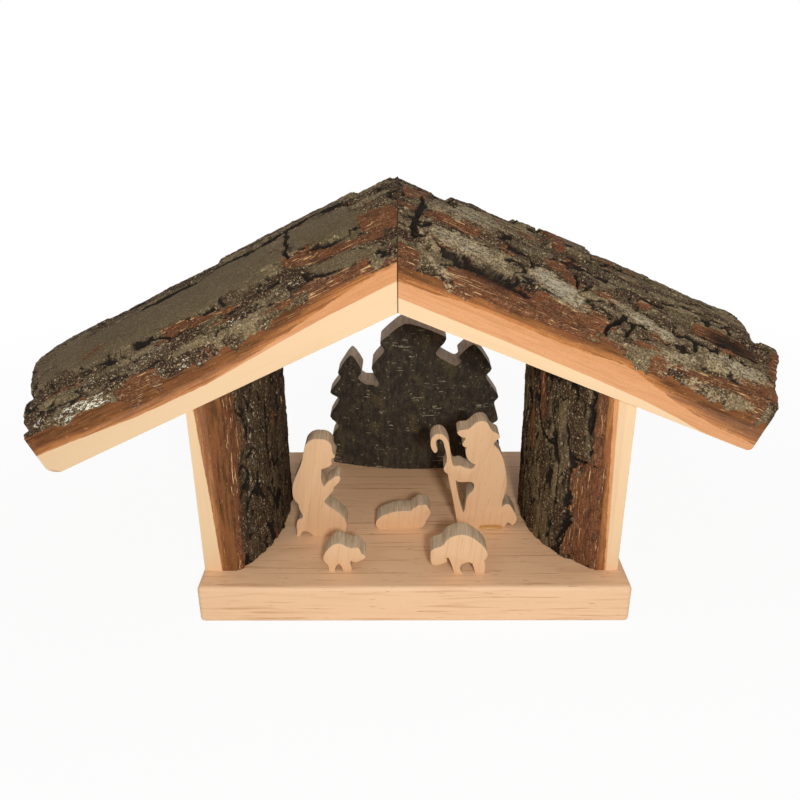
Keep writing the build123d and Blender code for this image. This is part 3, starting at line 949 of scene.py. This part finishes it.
left_roof_bark = Bark(
    left_roof, left_roof.length, left_roof_courses, seed=3.0, plate_long=60, plate_wide=14, plate_step=0.6,
    crack=1.1, flake=0.6, rough=0.35, gap=0.06, red_share=0.08,
    smooth=[(118, -31, 80, 17, 0.02), (20, -31, 20, 13, 0.18), (100, 48, 90, 18, 0.0),
            (14, -60, 16, 4, 0.15)],
    bare=[(-10, -45, 11, 8, 0.3), (18, -49.5, 26, 3.5, 0.18), (18, -70, 17, 3.5, -0.1),
          (92, -53, 22, 2.5, 0.1), (155, -38, 7, 1.8, -0.4), (128, -73, 9, 4, 0.0)],
    crust=[(165, -71, 22, 5.5, 0.04, 1.0), (190, -70, 12, 4, 0.0, 0.7), (124, -61, 18, 8, 0.0, 0.6),
           (108, -74, 22, 5, 0.0, 0.6), (146, -60, 40, 11, 0.0, 0.4), (150, -45, 50, 12, 0.0, 0.2),
           (40, -62, 20, 7, 0.1, 0.55), (-2, -20, 16, 12, 0.8, 0.35), (76, -68, 24, 7, 0.0, 0.45)],
    cracks=[(1.2, [(41, -44), (40, -20), (38, -8)]), (0.3, [(60, -53), (100, -49), (120, -47)]),
            (2.4, [(9, -14), (22, -11), (38, -11), (58, -18), (80, -15), (98, -20), (120, -21), (136, -18)]),
            (0.4, [(150, -60), (196, -66)]), (0.5, [(2, -45), (24, -45), (40, -43)])],
    overlap=[(0, -1), (44, -1), (57, 3), (80, 5.5), (115, 5.3), (126, 6.5), (133, 10), (141, 7), (150, 3.5),
             (182, 2.4), (200, 0)],
    bites=[(-75, 0), (-71, 0), (-68, 4), (-64, 1), (-57, 1), (-52, 2), (-49, 6), (-45, 4), (-38, 3), (-25, 1),
           (-15, 0), (-3, 3), (30, 3), (60, 1), (73, 1)],
    bite_seed=5.5,
)
print("left roof:", len(left_roof_bark.crust), "crusted places")

# %% Right roof bark
high_plates = [(-0.8, 0.28), (-0.61, 0.02), (-0.47, 0.19)]
middle_plates = [(-0.87, 0.26), (-0.64, 0.02), (-0.5, 0.14)]
right_roof_courses = [
    (0, [(1, 0.3)]),
    (0.06, high_plates + [(-0.25, 0.04), (1, 0.42)]),
    (0.24, high_plates + [(-0.11, 0.02), (0.42, 0.1), (1, 0.05)]),
    (0.295, high_plates + [(0.02, 0.06), (0.35, -0.12), (1, 0.05)]),
    (0.34, middle_plates + [(-0.14, 0.1), (1, 0.12)]),
    (0.46, middle_plates + [(-0.2, 0.1), (0.35, -0.22), (1, 0.05)]),
    (0.5, middle_plates + [(-0.14, 0.1), (1, 0.05)]),
    (0.725, [(-0.69, 0.07), (-0.55, 0.16), (-0.07, 0.07), (1, 0.02)]),
    (0.97, [(-0.86, 0.16), (-0.65, 0.02), (-0.51, 0.24), (0, 0.04), (1, 0.05)]),
    (1, [(-0.62, 0.1), (-0.42, -0.25), (1, 0.5)]),
]
right_roof_bark = Bark(
    right_roof, right_roof.length, right_roof_courses, seed=8.0, plate_long=44, plate_wide=13, plate_step=1.0,
    crack=1.3, flake=0.8, rough=0.45, gap=0.06,
    smooth=[(20, -49, 22, 5, -0.08), (68, -51, 14, 7, -0.4), (18, -20, 20, 8, 0.05),
            (120, -50, 15, 4, -0.28), (168, -57, 20, 4, 0.0), (137, -64, 13, 4, 0.0)],
    bare=[(56, -68, 44, 9, 0.0), (-8, -70, 8, 10, 0.0), (12, -33, 15, 3.5, 0.0), (70, -36, 12, 4, -0.5),
          (156, -68, 30, 2.4, 0.07), (167, -41, 19, 6, -0.1), (69, 2, 4, 18, 0.0), (-11, -12, 6, 8, 0.0),
          (192, -46, 3.5, 9, 0.0), (188, -62, 5, 6, 0.0)],
    crust=[(20, -49, 34, 11, -0.08, 0.8), (68, -51, 21, 11, -0.4, 1.3), (18, -20, 32, 14, 0.05, 0.75),
           (120, -50, 24, 8, -0.28, 1.0), (168, -57, 28, 7, 0.0, 0.9), (137, -64, 20, 8, 0.0, 0.65),
           (156, -75, 38, 6, 0.0, 0.5), (8, -64, 20, 6, -0.78, 0.5)],
    # The broad crack at the far plate is partly a groove and partly a band of painted shade under the
    # overhanging plate.
    cracks=[(1.6, [(-5, -15), (-6, -33), (-7, -52)]), (1.2, [(80, -46), (79, -36)]),
            (3.0, [(153, -44), (165, -45), (180, -46)]), (0.9, [(20, -56), (34, -60), (56, -62)]),
            (1.2, [(96, -78), (98, -62), (106, -52)]), (1.2, [(60, 4), (66, 14)])],
    # Painted shade under the overhanging plates, darkest in their middles.
    painted_shade_spots=[(34, -60, 36, 6.5, -0.08, 0.7), (168, -39.5, 24, 7, -0.05, 0.8), (-4, -56, 8, 12, 0.0, 0.5)],
    overlap=[(0, -1), (12, -1), (19, 4), (27, 4), (34, -1), (94, -1), (106, 1.5), (117, 5.5), (124, 6.5),
             (139, 4), (155, 5.5), (169, 7.5), (181, 5.5), (187, 9), (193, 10)],
    bites=[(-75, -1), (-68, -0.6), (-60, 1), (-45, -1), (-36, -2), (-33, -1), (-29, 7), (-12, 4), (20, 4),
           (50, 2), (73, 1)],
    bite_seed=6.5,
)
print("right roof:", len(right_roof_bark.crust), "crusted places")

# %% Roof bark
ROOF_SPACING = 0.68
RIDGE_LEAD = 28.0

for side, bark, lichen, past_ridge in (
    ("left", left_roof_bark, 0.0, RIGHTWARD), ("right", right_roof_bark, 1.0, -RIGHTWARD),
):
    node = side + "_roof_bark"
    sheet = bark_sheet(bark, -RIDGE_LEAD, bark.slab.length, ROOF_SPACING)
    saw(sheet, RIDGE_PLACE * MM, past_ridge)
    piece_from(sheet, node + "_relief", bark_finish(node, bark.slab, lichen), "stable", node)

# %% [markdown]
# ## Sawn wood of the slabs
#
# Under the bark the CAD solid already has the right shape. A copy of it is welded, its flat faces are
# joined again, and the edges that sandpaper reached lose their sharpness: the lower corners at the
# eaves much, and the level edges of the walls a little.

# %% Wood of the roof
WELD = 2e-6
FLAT_ANGLE = radians(0.6)
CORNER_ANGLE = radians(40)
EDGE_ROUND = 0.45
LEFT_EAVE_ROUND = 6.0
RIGHT_EAVE_ROUND = 2.5
EAVE_SEGMENTS = 6
EAVE_NEAR = 0.2


def softened_copy(node, radius, keep, segments=2):
    """A welded copy of a CAD node whose sharp edges are rounded where keep says so."""
    shape = bmesh.new()
    shape.from_mesh(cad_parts[node].data)
    bmesh.ops.remove_doubles(shape, verts=shape.verts[:], dist=WELD)
    bmesh.ops.dissolve_limit(shape, angle_limit=FLAT_ANGLE, use_dissolve_boundaries=False,
                             verts=shape.verts[:], edges=shape.edges[:])
    edges = [edge for edge in shape.edges
             if edge.is_manifold and edge.calc_face_angle(0.0) > CORNER_ANGLE and keep(edge)]
    bmesh.ops.bevel(shape, geom=edges, offset=radius * MM, offset_type="OFFSET", segments=segments,
                    profile=0.5, affect="EDGES", clamp_overlap=True, material=-1)
    return shape


def slab_wood(node, slab, radius, keep, segments=2):
    shape = softened_copy(node, radius, keep, segments)
    material = slab_wood_finish(node, slab)
    piece_from(shape, node + "_sawn", material, "stable", node, sharp=SAWN_ANGLE)


def eave_corner(slab):
    """Finds the lower edge at a roof slab's eave."""
    def found(edge):
        middle = ((edge.verts[0].co + edge.verts[1].co) / 2 - slab.origin * MM) / MM
        return abs(middle.dot(slab.along) - slab.length) < EAVE_NEAR and abs(middle.dot(slab.out)) < EAVE_NEAR
    return found


slab_wood("left_roof_wood", left_roof, LEFT_EAVE_ROUND, eave_corner(left_roof), EAVE_SEGMENTS)
slab_wood("right_roof_wood", right_roof, RIGHT_EAVE_ROUND, eave_corner(right_roof), EAVE_SEGMENTS)

# %% [markdown]
# ## Walls
#
# The walls are the same kind of slab stood on end, with the bark turned into the room. Their bark is
# painted darker and browner, as shade inside the stable, and splits into upright plates. A sheet longer
# than the wall is made, and two planes saw it off: the floor below and the underside of the roof above.

# %% Wall slabs
WALL_MIDDLE = -2.4
WALL_HALF = 62.0
WALL_LENGTH = 125.0
WALL_WARM = 0.7
LEFT_WALL_FACE = -114.4
RIGHT_WALL_FACE = 111.2


def wall_slab(face, inward, edge, crown, bark, pale_line, orange_line):
    origin = Vector((face, WALL_MIDDLE, FLOOR_HEIGHT))
    return Slab(origin, UPWARD, BACKWARD, inward, WALL_HALF, edge, crown, bark, WALL_LENGTH,
                pale_line, orange_line, WALL_WARM)


left_wall_line = [(0, 9.4), (40, 7.4), (80, 4.8), (125, 2.2)]
left_wall = wall_slab(
    LEFT_WALL_FACE, RIGHTWARD, edge=10.0, crown=31.2, bark=7.8,
    pale_line=left_wall_line, orange_line=left_wall_line,
)
right_wall = wall_slab(
    RIGHT_WALL_FACE, -RIGHTWARD, edge=5.0, crown=39.0, bark=6.5,
    pale_line=[(0, 6.2), (40, 7.4), (80, 8.6), (125, 9.4)],
    orange_line=[(0, 7.2), (40, 8.8), (80, 10.8), (125, 12.0)],
)

# %% Wall bark
WALL_SPACING = 0.78
WALL_LEAD = 3.0
RIDGE_RISE = 147.3
# How much painted shade darkens each wall's bark inside the stable.
LEFT_WALL_SHADE = 0.82
RIGHT_WALL_SHADE = 0.5
NO_OVERLAP = [(0, -1), (1, -1)]

left_wall_courses = [
    (0.3, [(-0.7, 0.1), (-0.25, 0.03), (0.2, 0.12), (0.6, 0.04), (1, 0.1)]),
    (0.62, [(-0.6, 0.03), (-0.2, 0.12), (0.25, 0.04), (1, 0.1)]),
    (1, [(-0.75, 0.12), (-0.35, 0.03), (0.1, 0.1), (0.5, 0.03), (1, 0.08)]),
]
right_wall_courses = [
    (0.43, [(-0.78, 0.34), (-0.3, 0.06), (0.1, 0.12), (0.5, 0.05), (1, 0.12)]),
    (0.7, [(-0.72, 0.1), (-0.45, 0.02), (-0.1, 0.14), (0.35, 0.04), (1, 0.1)]),
    (1, [(-0.6, 0.04), (-0.2, 0.12), (0.2, 0.03), (0.62, 0.1), (1, 0.05)]),
]
left_wall_bark = Bark(
    left_wall, RIDGE_RISE, left_wall_courses, seed=12.0, plate_long=46, plate_wide=9, plate_step=0.6,
    crack=1.0, flake=0.5, rough=0.35, sound=-0.5, gap=0.1, red_share=0.04, overlap=NO_OVERLAP,
    bare=[(104, -64, 44, 6, 0.0), (40, -65, 40, 4, 0.0)],
    crust=[(66, -47, 62, 14, 0.0, 0.45), (16, -48, 22, 20, 0.0, 0.4)],
    cracks=[(3.0, [(108, -62), (114, -60)]), (1.0, [(122, -33), (90, -29), (60, -31), (30, -28), (8, -34)]),
            (0.5, [(112, -10), (80, -14), (50, -10), (20, -12)])],
)
right_wall_bark = Bark(
    right_wall, RIDGE_RISE, right_wall_courses, seed=17.0, plate_long=52, plate_wide=8, plate_step=0.6,
    crack=1.2, flake=0.5, rough=0.35, sound=-0.6, gap=0.1, red_share=0.04, overlap=NO_OVERLAP,
    bare=[(30, -63, 33, 9, 0.0), (95, -70, 60, 3.5, 0.0), (96, -26, 22, 3, 0.1), (66, -15, 12, 4, 0.1)],
    cracks=[(0.8, [(63, -70), (62, -54), (40, -53), (20, -54), (2, -50)]),
            (0.4, [(120, -40), (80, -42), (66, -38)]),
            (1.2, [(122, -8), (98, -14), (78, -13), (60, -5), (34, -7), (16, -3)]),
            (1.1, [(110, -20), (84, -22), (67, -28), (65, -42)])],
)

for side, bark, roof, painted_shade in (
    ("left", left_wall_bark, left_roof, LEFT_WALL_SHADE), ("right", right_wall_bark, right_roof, RIGHT_WALL_SHADE),
):
    node = side + "_wall_bark"
    sheet = bark_sheet(bark, -WALL_LEAD, WALL_LENGTH, WALL_SPACING)
    saw(sheet, bark.slab.origin * MM, -UPWARD)
    saw(sheet, roof.origin * MM, roof.out)
    piece_from(sheet, node + "_relief", bark_finish(node, bark.slab, painted_shade=painted_shade), "stable", node)

# %% Wood of the walls
LEVEL_RISE = 30 * MM


def level_edge(edge):
    """True for the edges of a wall's foot and of its top under the roof, along the front."""
    first, second = edge.verts[0].co, edge.verts[1].co
    return abs(first.y - second.y) < MERGE and abs(first.z - second.z) < LEVEL_RISE


slab_wood("left_wall_wood", left_wall, EDGE_ROUND, level_edge)
slab_wood("right_wall_wood", right_wall, EDGE_ROUND, level_edge)

# %% [markdown]
# ## Firs
#
# The trees are sawn out of a thin slab with dark, finely ridged bark. The bark is made as a plain
# sheet like the others and then intersected with the sawn outline, which is how the saw made it.

# %% Shape of the firs
FIRS_MIDDLE = 2.1
FIRS_BACK = 77.0
FIRS_HALF = 61.0
FIRS_WIDTH = 116.6
FIRS_HEIGHT = 105.3
FIRS_SHARES = [
    (0.02, 0), (0.015, 0.2), (0.065, 0.27), (0, 0.325), (0.077, 0.46), (0.006, 0.49),
    (0.088, 0.61), (0.06, 0.635), (0.145, 0.78), (0.21, 0.665), (0.175, 0.615),
    (0.22, 0.577), (0.31, 0.58), (0.25, 0.695), (0.34, 0.81), (0.3, 0.855), (0.45, 1),
    (0.69, 0.89), (0.6, 0.787), (0.728, 0.698), (0.762, 0.73), (0.738, 0.762),
    (0.827, 0.85), (0.943, 0.656), (0.892, 0.613), (0.987, 0.458), (0.952, 0.428),
    (0.988, 0.296), (0.94, 0.274), (1, 0.14), (0.99, 0),
]
FIRS_CUT_START = -1.0
FIRS_CUT_DEPTH = 40.0
CORNER_CUTS = (0.14, 0.25)
FIRS_ROUND_STEPS = 24

firs_slab = Slab(Vector((FIRS_MIDDLE, FIRS_BACK, FLOOR_HEIGHT)), UPWARD, RIGHTWARD, -BACKWARD, FIRS_HALF,
                 edge=6.5, crown=20.5, bark=4.0, length=FIRS_HEIGHT)


def worn_outline():
    """The trees' outline in mm with tips and notches worn round, by cutting off corners again and again."""
    corners = [Vector((FIRS_WIDTH * (x - 0.5), FIRS_HEIGHT * z)) for x, z in FIRS_SHARES]
    for share in CORNER_CUTS:
        worn = [corners[0]]
        for first, second in zip(corners, corners[1:]):
            worn += [first.lerp(second, share), second.lerp(first, share)]
        corners = worn + [corners[-1]]
    return corners


def prism(corners, run):
    """A closed block: a row of corners swept along a run."""
    shape = bmesh.new()
    face = shape.faces.new([shape.verts.new(corner) for corner in corners])
    grown = bmesh.ops.extrude_face_region(shape, geom=[face])
    raised = [item for item in grown["geom"] if isinstance(item, bmesh.types.BMVert)]
    bmesh.ops.translate(shape, verts=raised, vec=run * MM)
    bmesh.ops.recalc_face_normals(shape, faces=shape.faces[:])
    return shape


def firs_outline():
    """The block that the saw leaves standing, as deep as the slab and a little more."""
    corners = [firs_slab.place(at.y, at.x, FIRS_CUT_START) for at in worn_outline()]
    return prism(corners, firs_slab.out * FIRS_CUT_DEPTH)


def firs_plank():
    """The slab's wood before it is sawn to trees: flat at the back, round under the bark."""
    steps = [FIRS_HALF * (number / FIRS_ROUND_STEPS - 1) for number in range(2 * FIRS_ROUND_STEPS + 1)]
    front = [firs_slab.place(-WALL_LEAD, v, firs_slab.core_height(v)) for v in steps]
    back = [firs_slab.place(-WALL_LEAD, side * FIRS_HALF, 0.0) for side in (1, -1)]
    return prism(front + back, firs_slab.along * (FIRS_HEIGHT + 2 * WALL_LEAD))


def intersected(shape, cutter_shape):
    """What two closed shapes share."""
    bmesh.ops.recalc_face_normals(shape, faces=shape.faces[:])
    body = linked("uncut", mesh_from(shape, "uncut"))
    cutter = linked("cutter", mesh_from(cutter_shape, "cutter"))
    cut = body.modifiers.new("cut", "BOOLEAN")
    cut.operation = "INTERSECT"
    cut.solver = "EXACT"
    cut.object = cutter
    evaluated = body.evaluated_get(bpy.context.evaluated_depsgraph_get())
    result = bmesh.new()
    result.from_mesh(evaluated.to_mesh())
    evaluated.to_mesh_clear()
    bpy.data.objects.remove(body)
    bpy.data.objects.remove(cutter)
    return result


print("outline of the firs:", len(worn_outline()), "corners")

# %% Finish of the firs
FIRS_DARK = tint(40, 32, 22)
FIRS_GREY = tint(76, 65, 49)
FIRS_DASH = tint(176, 164, 138)
FIRS_CUT = tint(206, 186, 164)
FIRS_CUT_DARK = tint(166, 144, 122)
FIRS_WOOD = tint(196, 160, 118)
FIRS_WOOD_DEEP = tint(150, 112, 76)
FIRS_RING = tint(138, 102, 70)
FIRS_RING_GAP = 4.0


def firs_bark_finish():
    finish = Finish("firs_bark", firs_slab)
    waves = finish.waves
    ridges = waves(9, 1.8, 5.0, 0.7)
    mottle = waves(7, 4, 5.0, 0.7)
    grit = waves(1.2, 1.0, 2.0, 0.7)
    moss = waves(14, 9)
    dash = waves(1.1, 7, 1.0).rise(0.62, 0.68) * waves(9, 14, 1.0).rise(0.52, 0.6) * grit.rise(0.38, 0.5)
    dot = waves(2.0, 1.5, 1.0).rise(0.69, 0.74) * mottle.rise(0.42, 0.56)
    sawn = 1 - finish.dot(finish.normal("True Normal"), firs_slab.out).rise(0.35, 0.6)
    colour = finish.coats(
        FIRS_DARK,
        ((mottle + ridges * 0.5).rise(0.58, 0.92), FIRS_GREY),
        ((0.47 - grit).rise(0.0, 0.12) * 0.7, CRACK_AND_SHADE_BLACK),
        ((moss + grit * 0.3).rise(0.72, 0.82) * 0.5, BARK_OLIVE),
        ((dash | dot) * 0.8, FIRS_DASH),
        (sawn, finish.mix(mottle, FIRS_CUT_DARK, FIRS_CUT)),
    )
    return finish.done(Base_Color=colour, Roughness=0.8 + ridges * 0.1, Normal=finish.bump(ridges, 0.5, 0.8))


def firs_wood_finish():
    finish = Finish("firs_wood", firs_slab)
    wood, pores = ring_wood(finish, (0.0, firs_slab.centre), FIRS_RING_GAP, FIRS_WOOD, FIRS_WOOD_DEEP,
                            FIRS_RING, 0.6)
    streak = finish.noise(finish.vector(finish.u / 2.2, finish.v / 2.2, finish.w / 18), 3.0, 0.6)
    aged = finish.mix(streak.rise(0.3, 0.7), FIRS_CUT_DARK, FIRS_CUT)
    back = finish.dot(finish.normal(), BACKWARD).rise(0.5, 0.8)
    relief = finish.bump(streak + pores, 0.3, 0.4)
    return finish.done(Base_Color=finish.mix(back, aged, wood), Roughness=0.7 + streak * 0.15, Normal=relief)


print("finish of the firs ready")

# %% Firs
FIRS_SPACING = 0.8

firs_bark = Bark(
    firs_slab, FIRS_HEIGHT, [(1, [(1, 0)])], seed=23.0, plate_long=40, plate_wide=5.5, plate_step=0.3,
    crack=0.3, flake=0.25, rough=0.4, sound=0.6, red_share=0.0, lift=0.0,
)
firs_sheet = bark_sheet(firs_bark, -WALL_LEAD, FIRS_HEIGHT + WALL_LEAD, FIRS_SPACING)
saw(firs_sheet, firs_slab.place(-WALL_LEAD / 2, 0, 0), -UPWARD)
saw(firs_sheet, firs_slab.place(FIRS_HEIGHT + WALL_LEAD / 2, 0, 0), UPWARD)
trees_bark = intersected(firs_sheet, firs_outline())
piece_from(trees_bark, "firs_bark_relief", firs_bark_finish(), "stable", "firs_bark")
trees_wood = intersected(firs_plank(), firs_outline())
piece_from(trees_wood, "firs_wood_sawn", firs_wood_finish(), "stable", "firs_wood")

# %% [markdown]
# ## Planed wood
#
# The board and the figures are planed hardwood, pale with a warm cast. Seen close it has faint growth
# lines, short dark pores and a few flecks. The cut edges of the figures are painted greyer than their
# faces, which is painted light for how grazing light shows them, and carry fine streaks across the edge.

# %% Planed wood finish
PLANED_PALE = tint(242, 200, 158)
PLANED_WARM = tint(232, 186, 142)
PLANED_LINE = tint(206, 156, 112)
PLANED_TICK = tint(166, 114, 74)
FIGURE_PALE = tint(230, 187, 143)
FIGURE_WARM = tint(220, 173, 128)
# Colours of the figures' sawn edges, painted greyer as painted light for the grazing light on them.
GRAZING_EDGE_PAINT = tint(230, 206, 172)
GRAZING_EDGE_PAINT_DARK = tint(186, 162, 132)
FIGURE_LEAN = 0.12


def planed_wood(finish, centre, gap, pale, warm, fine, bold):
    """Colour and pores of a planed board. centre and gap place its rings, and its lines are as wide as
    fine and as dark as bold says."""
    wood, pores = ring_wood(finish, centre, gap, pale, warm, PLANED_LINE, 0.3)
    lines = finish.waves(55, fine, 3.0, 0.6).rise(0.54, 0.70) * bold
    ticks = finish.waves(9, fine / 2, 1.0).rise(0.68, 0.78) * 0.7
    return finish.coats(wood, (lines, PLANED_LINE), (ticks, PLANED_TICK)), pores


def board_finish():
    finish = Finish("base_board", Lay(Vector((0, 0, 0)), RIGHTWARD, BACKWARD, UPWARD))
    wood, pores = planed_wood(finish, centre=(-50.0, -46.0), gap=7.0, pale=PLANED_PALE, warm=PLANED_WARM,
                              fine=1.7, bold=0.9)
    return finish.done(Base_Color=wood, Roughness=0.5 + pores * 0.12, Normal=finish.bump(pores, 0.12, 0.25))


def figure_finish(name, place):
    along = Vector((FIGURE_LEAN, 0, 1)).normalized()
    across = Vector((1, 0, -FIGURE_LEAN)).normalized()
    finish = Finish(name, Lay(place, along, across, BACKWARD))
    wood, pores = planed_wood(finish, centre=(-60.0, 40.0), gap=6.0, pale=FIGURE_PALE, warm=FIGURE_WARM,
                              fine=0.9, bold=0.6)
    # Painted light: the sawn edges, found by their normal, get a greyer colour that stands for how grazing
    # light shows them.
    front = finish.dot(finish.normal(), BACKWARD)
    side = 1 - (front * front).rise(0.15, 0.6)
    x, y, z = [finish.dot(finish.point, way) for way in (RIGHTWARD, BACKWARD, UPWARD)]
    streak = finish.noise(finish.vector(x / 0.8, y / 14, z / 0.8), 3.0, 0.6)
    edge = finish.mix(streak.rise(0.3, 0.7), GRAZING_EDGE_PAINT, GRAZING_EDGE_PAINT_DARK)
    relief = finish.bump(pores + streak, 0.12, 0.3)
    return finish.done(Base_Color=finish.mix(side, wood, edge), Roughness=0.55 + streak * 0.15, Normal=relief)


print("planed wood ready")

# %% Figures
FIGURE_EDGE = 0.45
FACE_ON = 0.99


def front_or_back(edge):
    """True for the rim between a figure's flat face and its sawn edge."""
    return any(abs(face.normal.y) > FACE_ON for face in edge.link_faces)


for node, body in (
    ("kneeling_woman", "kneeling_woman"), ("crook_man", "stable"), ("infant", "infant"),
    ("lamb", "lamb"), ("ewe", "ewe"),
):
    shape = softened_copy(node, FIGURE_EDGE, front_or_back)
    material = figure_finish(node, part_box(node)[0] / MM)
    piece_from(shape, node + "_planed", material, body, node)


# %% Base board
def dress(material, *nodes):
    """Gives CAD nodes that keep their shape a new material."""
    for node in nodes:
        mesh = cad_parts[node].data
        mesh.materials.clear()
        mesh.materials.append(material)
        print(node, len(mesh.polygons), "faces")


dress(board_finish(), "base_board")

# %% [markdown]
# ## Small things
#
# A bead of amber glue shows at the foot of the standing figure. Screws and dowels hold the slabs and
# hardly show, so they keep their CAD shapes and get plain but honest finishes.

# %% Glue, screws and dowels
GLUE_SHIFT = Vector((3.6, -0.4, 0.0))
GLUE_HALF = Vector((7.0, 1.9, 1.1))
GLUE_EMBED = 0.4
GLUE_LIGHT = tint(214, 164, 92)
GLUE_DEEP = tint(186, 132, 66)
STEEL_LIGHT = tint(190, 188, 182)
STEEL_DARK = tint(140, 138, 134)


def glue_mound():
    """A low mound of glue that crept out under the figure: a squashed ball, half sunk into the floor."""
    low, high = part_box("glue_bead")
    middle = (low + high) / 2 + GLUE_SHIFT * MM
    middle.z = (FLOOR_HEIGHT + GLUE_EMBED) * MM
    shape = bmesh.new()
    bmesh.ops.create_uvsphere(shape, u_segments=32, v_segments=16, radius=MM)
    bmesh.ops.scale(shape, vec=GLUE_HALF, verts=shape.verts[:])
    bmesh.ops.translate(shape, vec=middle, verts=shape.verts[:])
    return shape


def glue_finish():
    finish = Finish("set_glue")
    cloud = finish.noise(finish.point)
    return finish.done(Base_Color=finish.mix(cloud, GLUE_LIGHT, GLUE_DEEP), Roughness=0.3 + cloud * 0.1)


def steel_finish():
    finish = Finish("screw_steel")
    brush = finish.noise(finish.point, 3.0, 0.6)
    colour = finish.mix(brush, STEEL_LIGHT, STEEL_DARK)
    return finish.done(Base_Color=colour, Roughness=0.28 + brush * 0.2, Metallic=1.0)


def dowel_finish():
    finish = Finish("dowel_wood", Lay(Vector((0, 0, 0)), UPWARD, RIGHTWARD, BACKWARD))
    wood, pores = planed_wood(finish, centre=(3.0, 40.0), gap=1.6, pale=PLANED_PALE, warm=PLANED_WARM,
                              fine=0.8, bold=0.6)
    return finish.done(Base_Color=wood, Roughness=0.6 + pores * 0.1)


piece_from(glue_mound(), "glue_mound", glue_finish(), "stable", "glue_bead")
dress(steel_finish(), "left_wall_screws", "right_wall_screws", "firs_screws")
dress(dowel_finish(), "left_roof_dowels", "right_roof_dowels", "ridge_dowels")
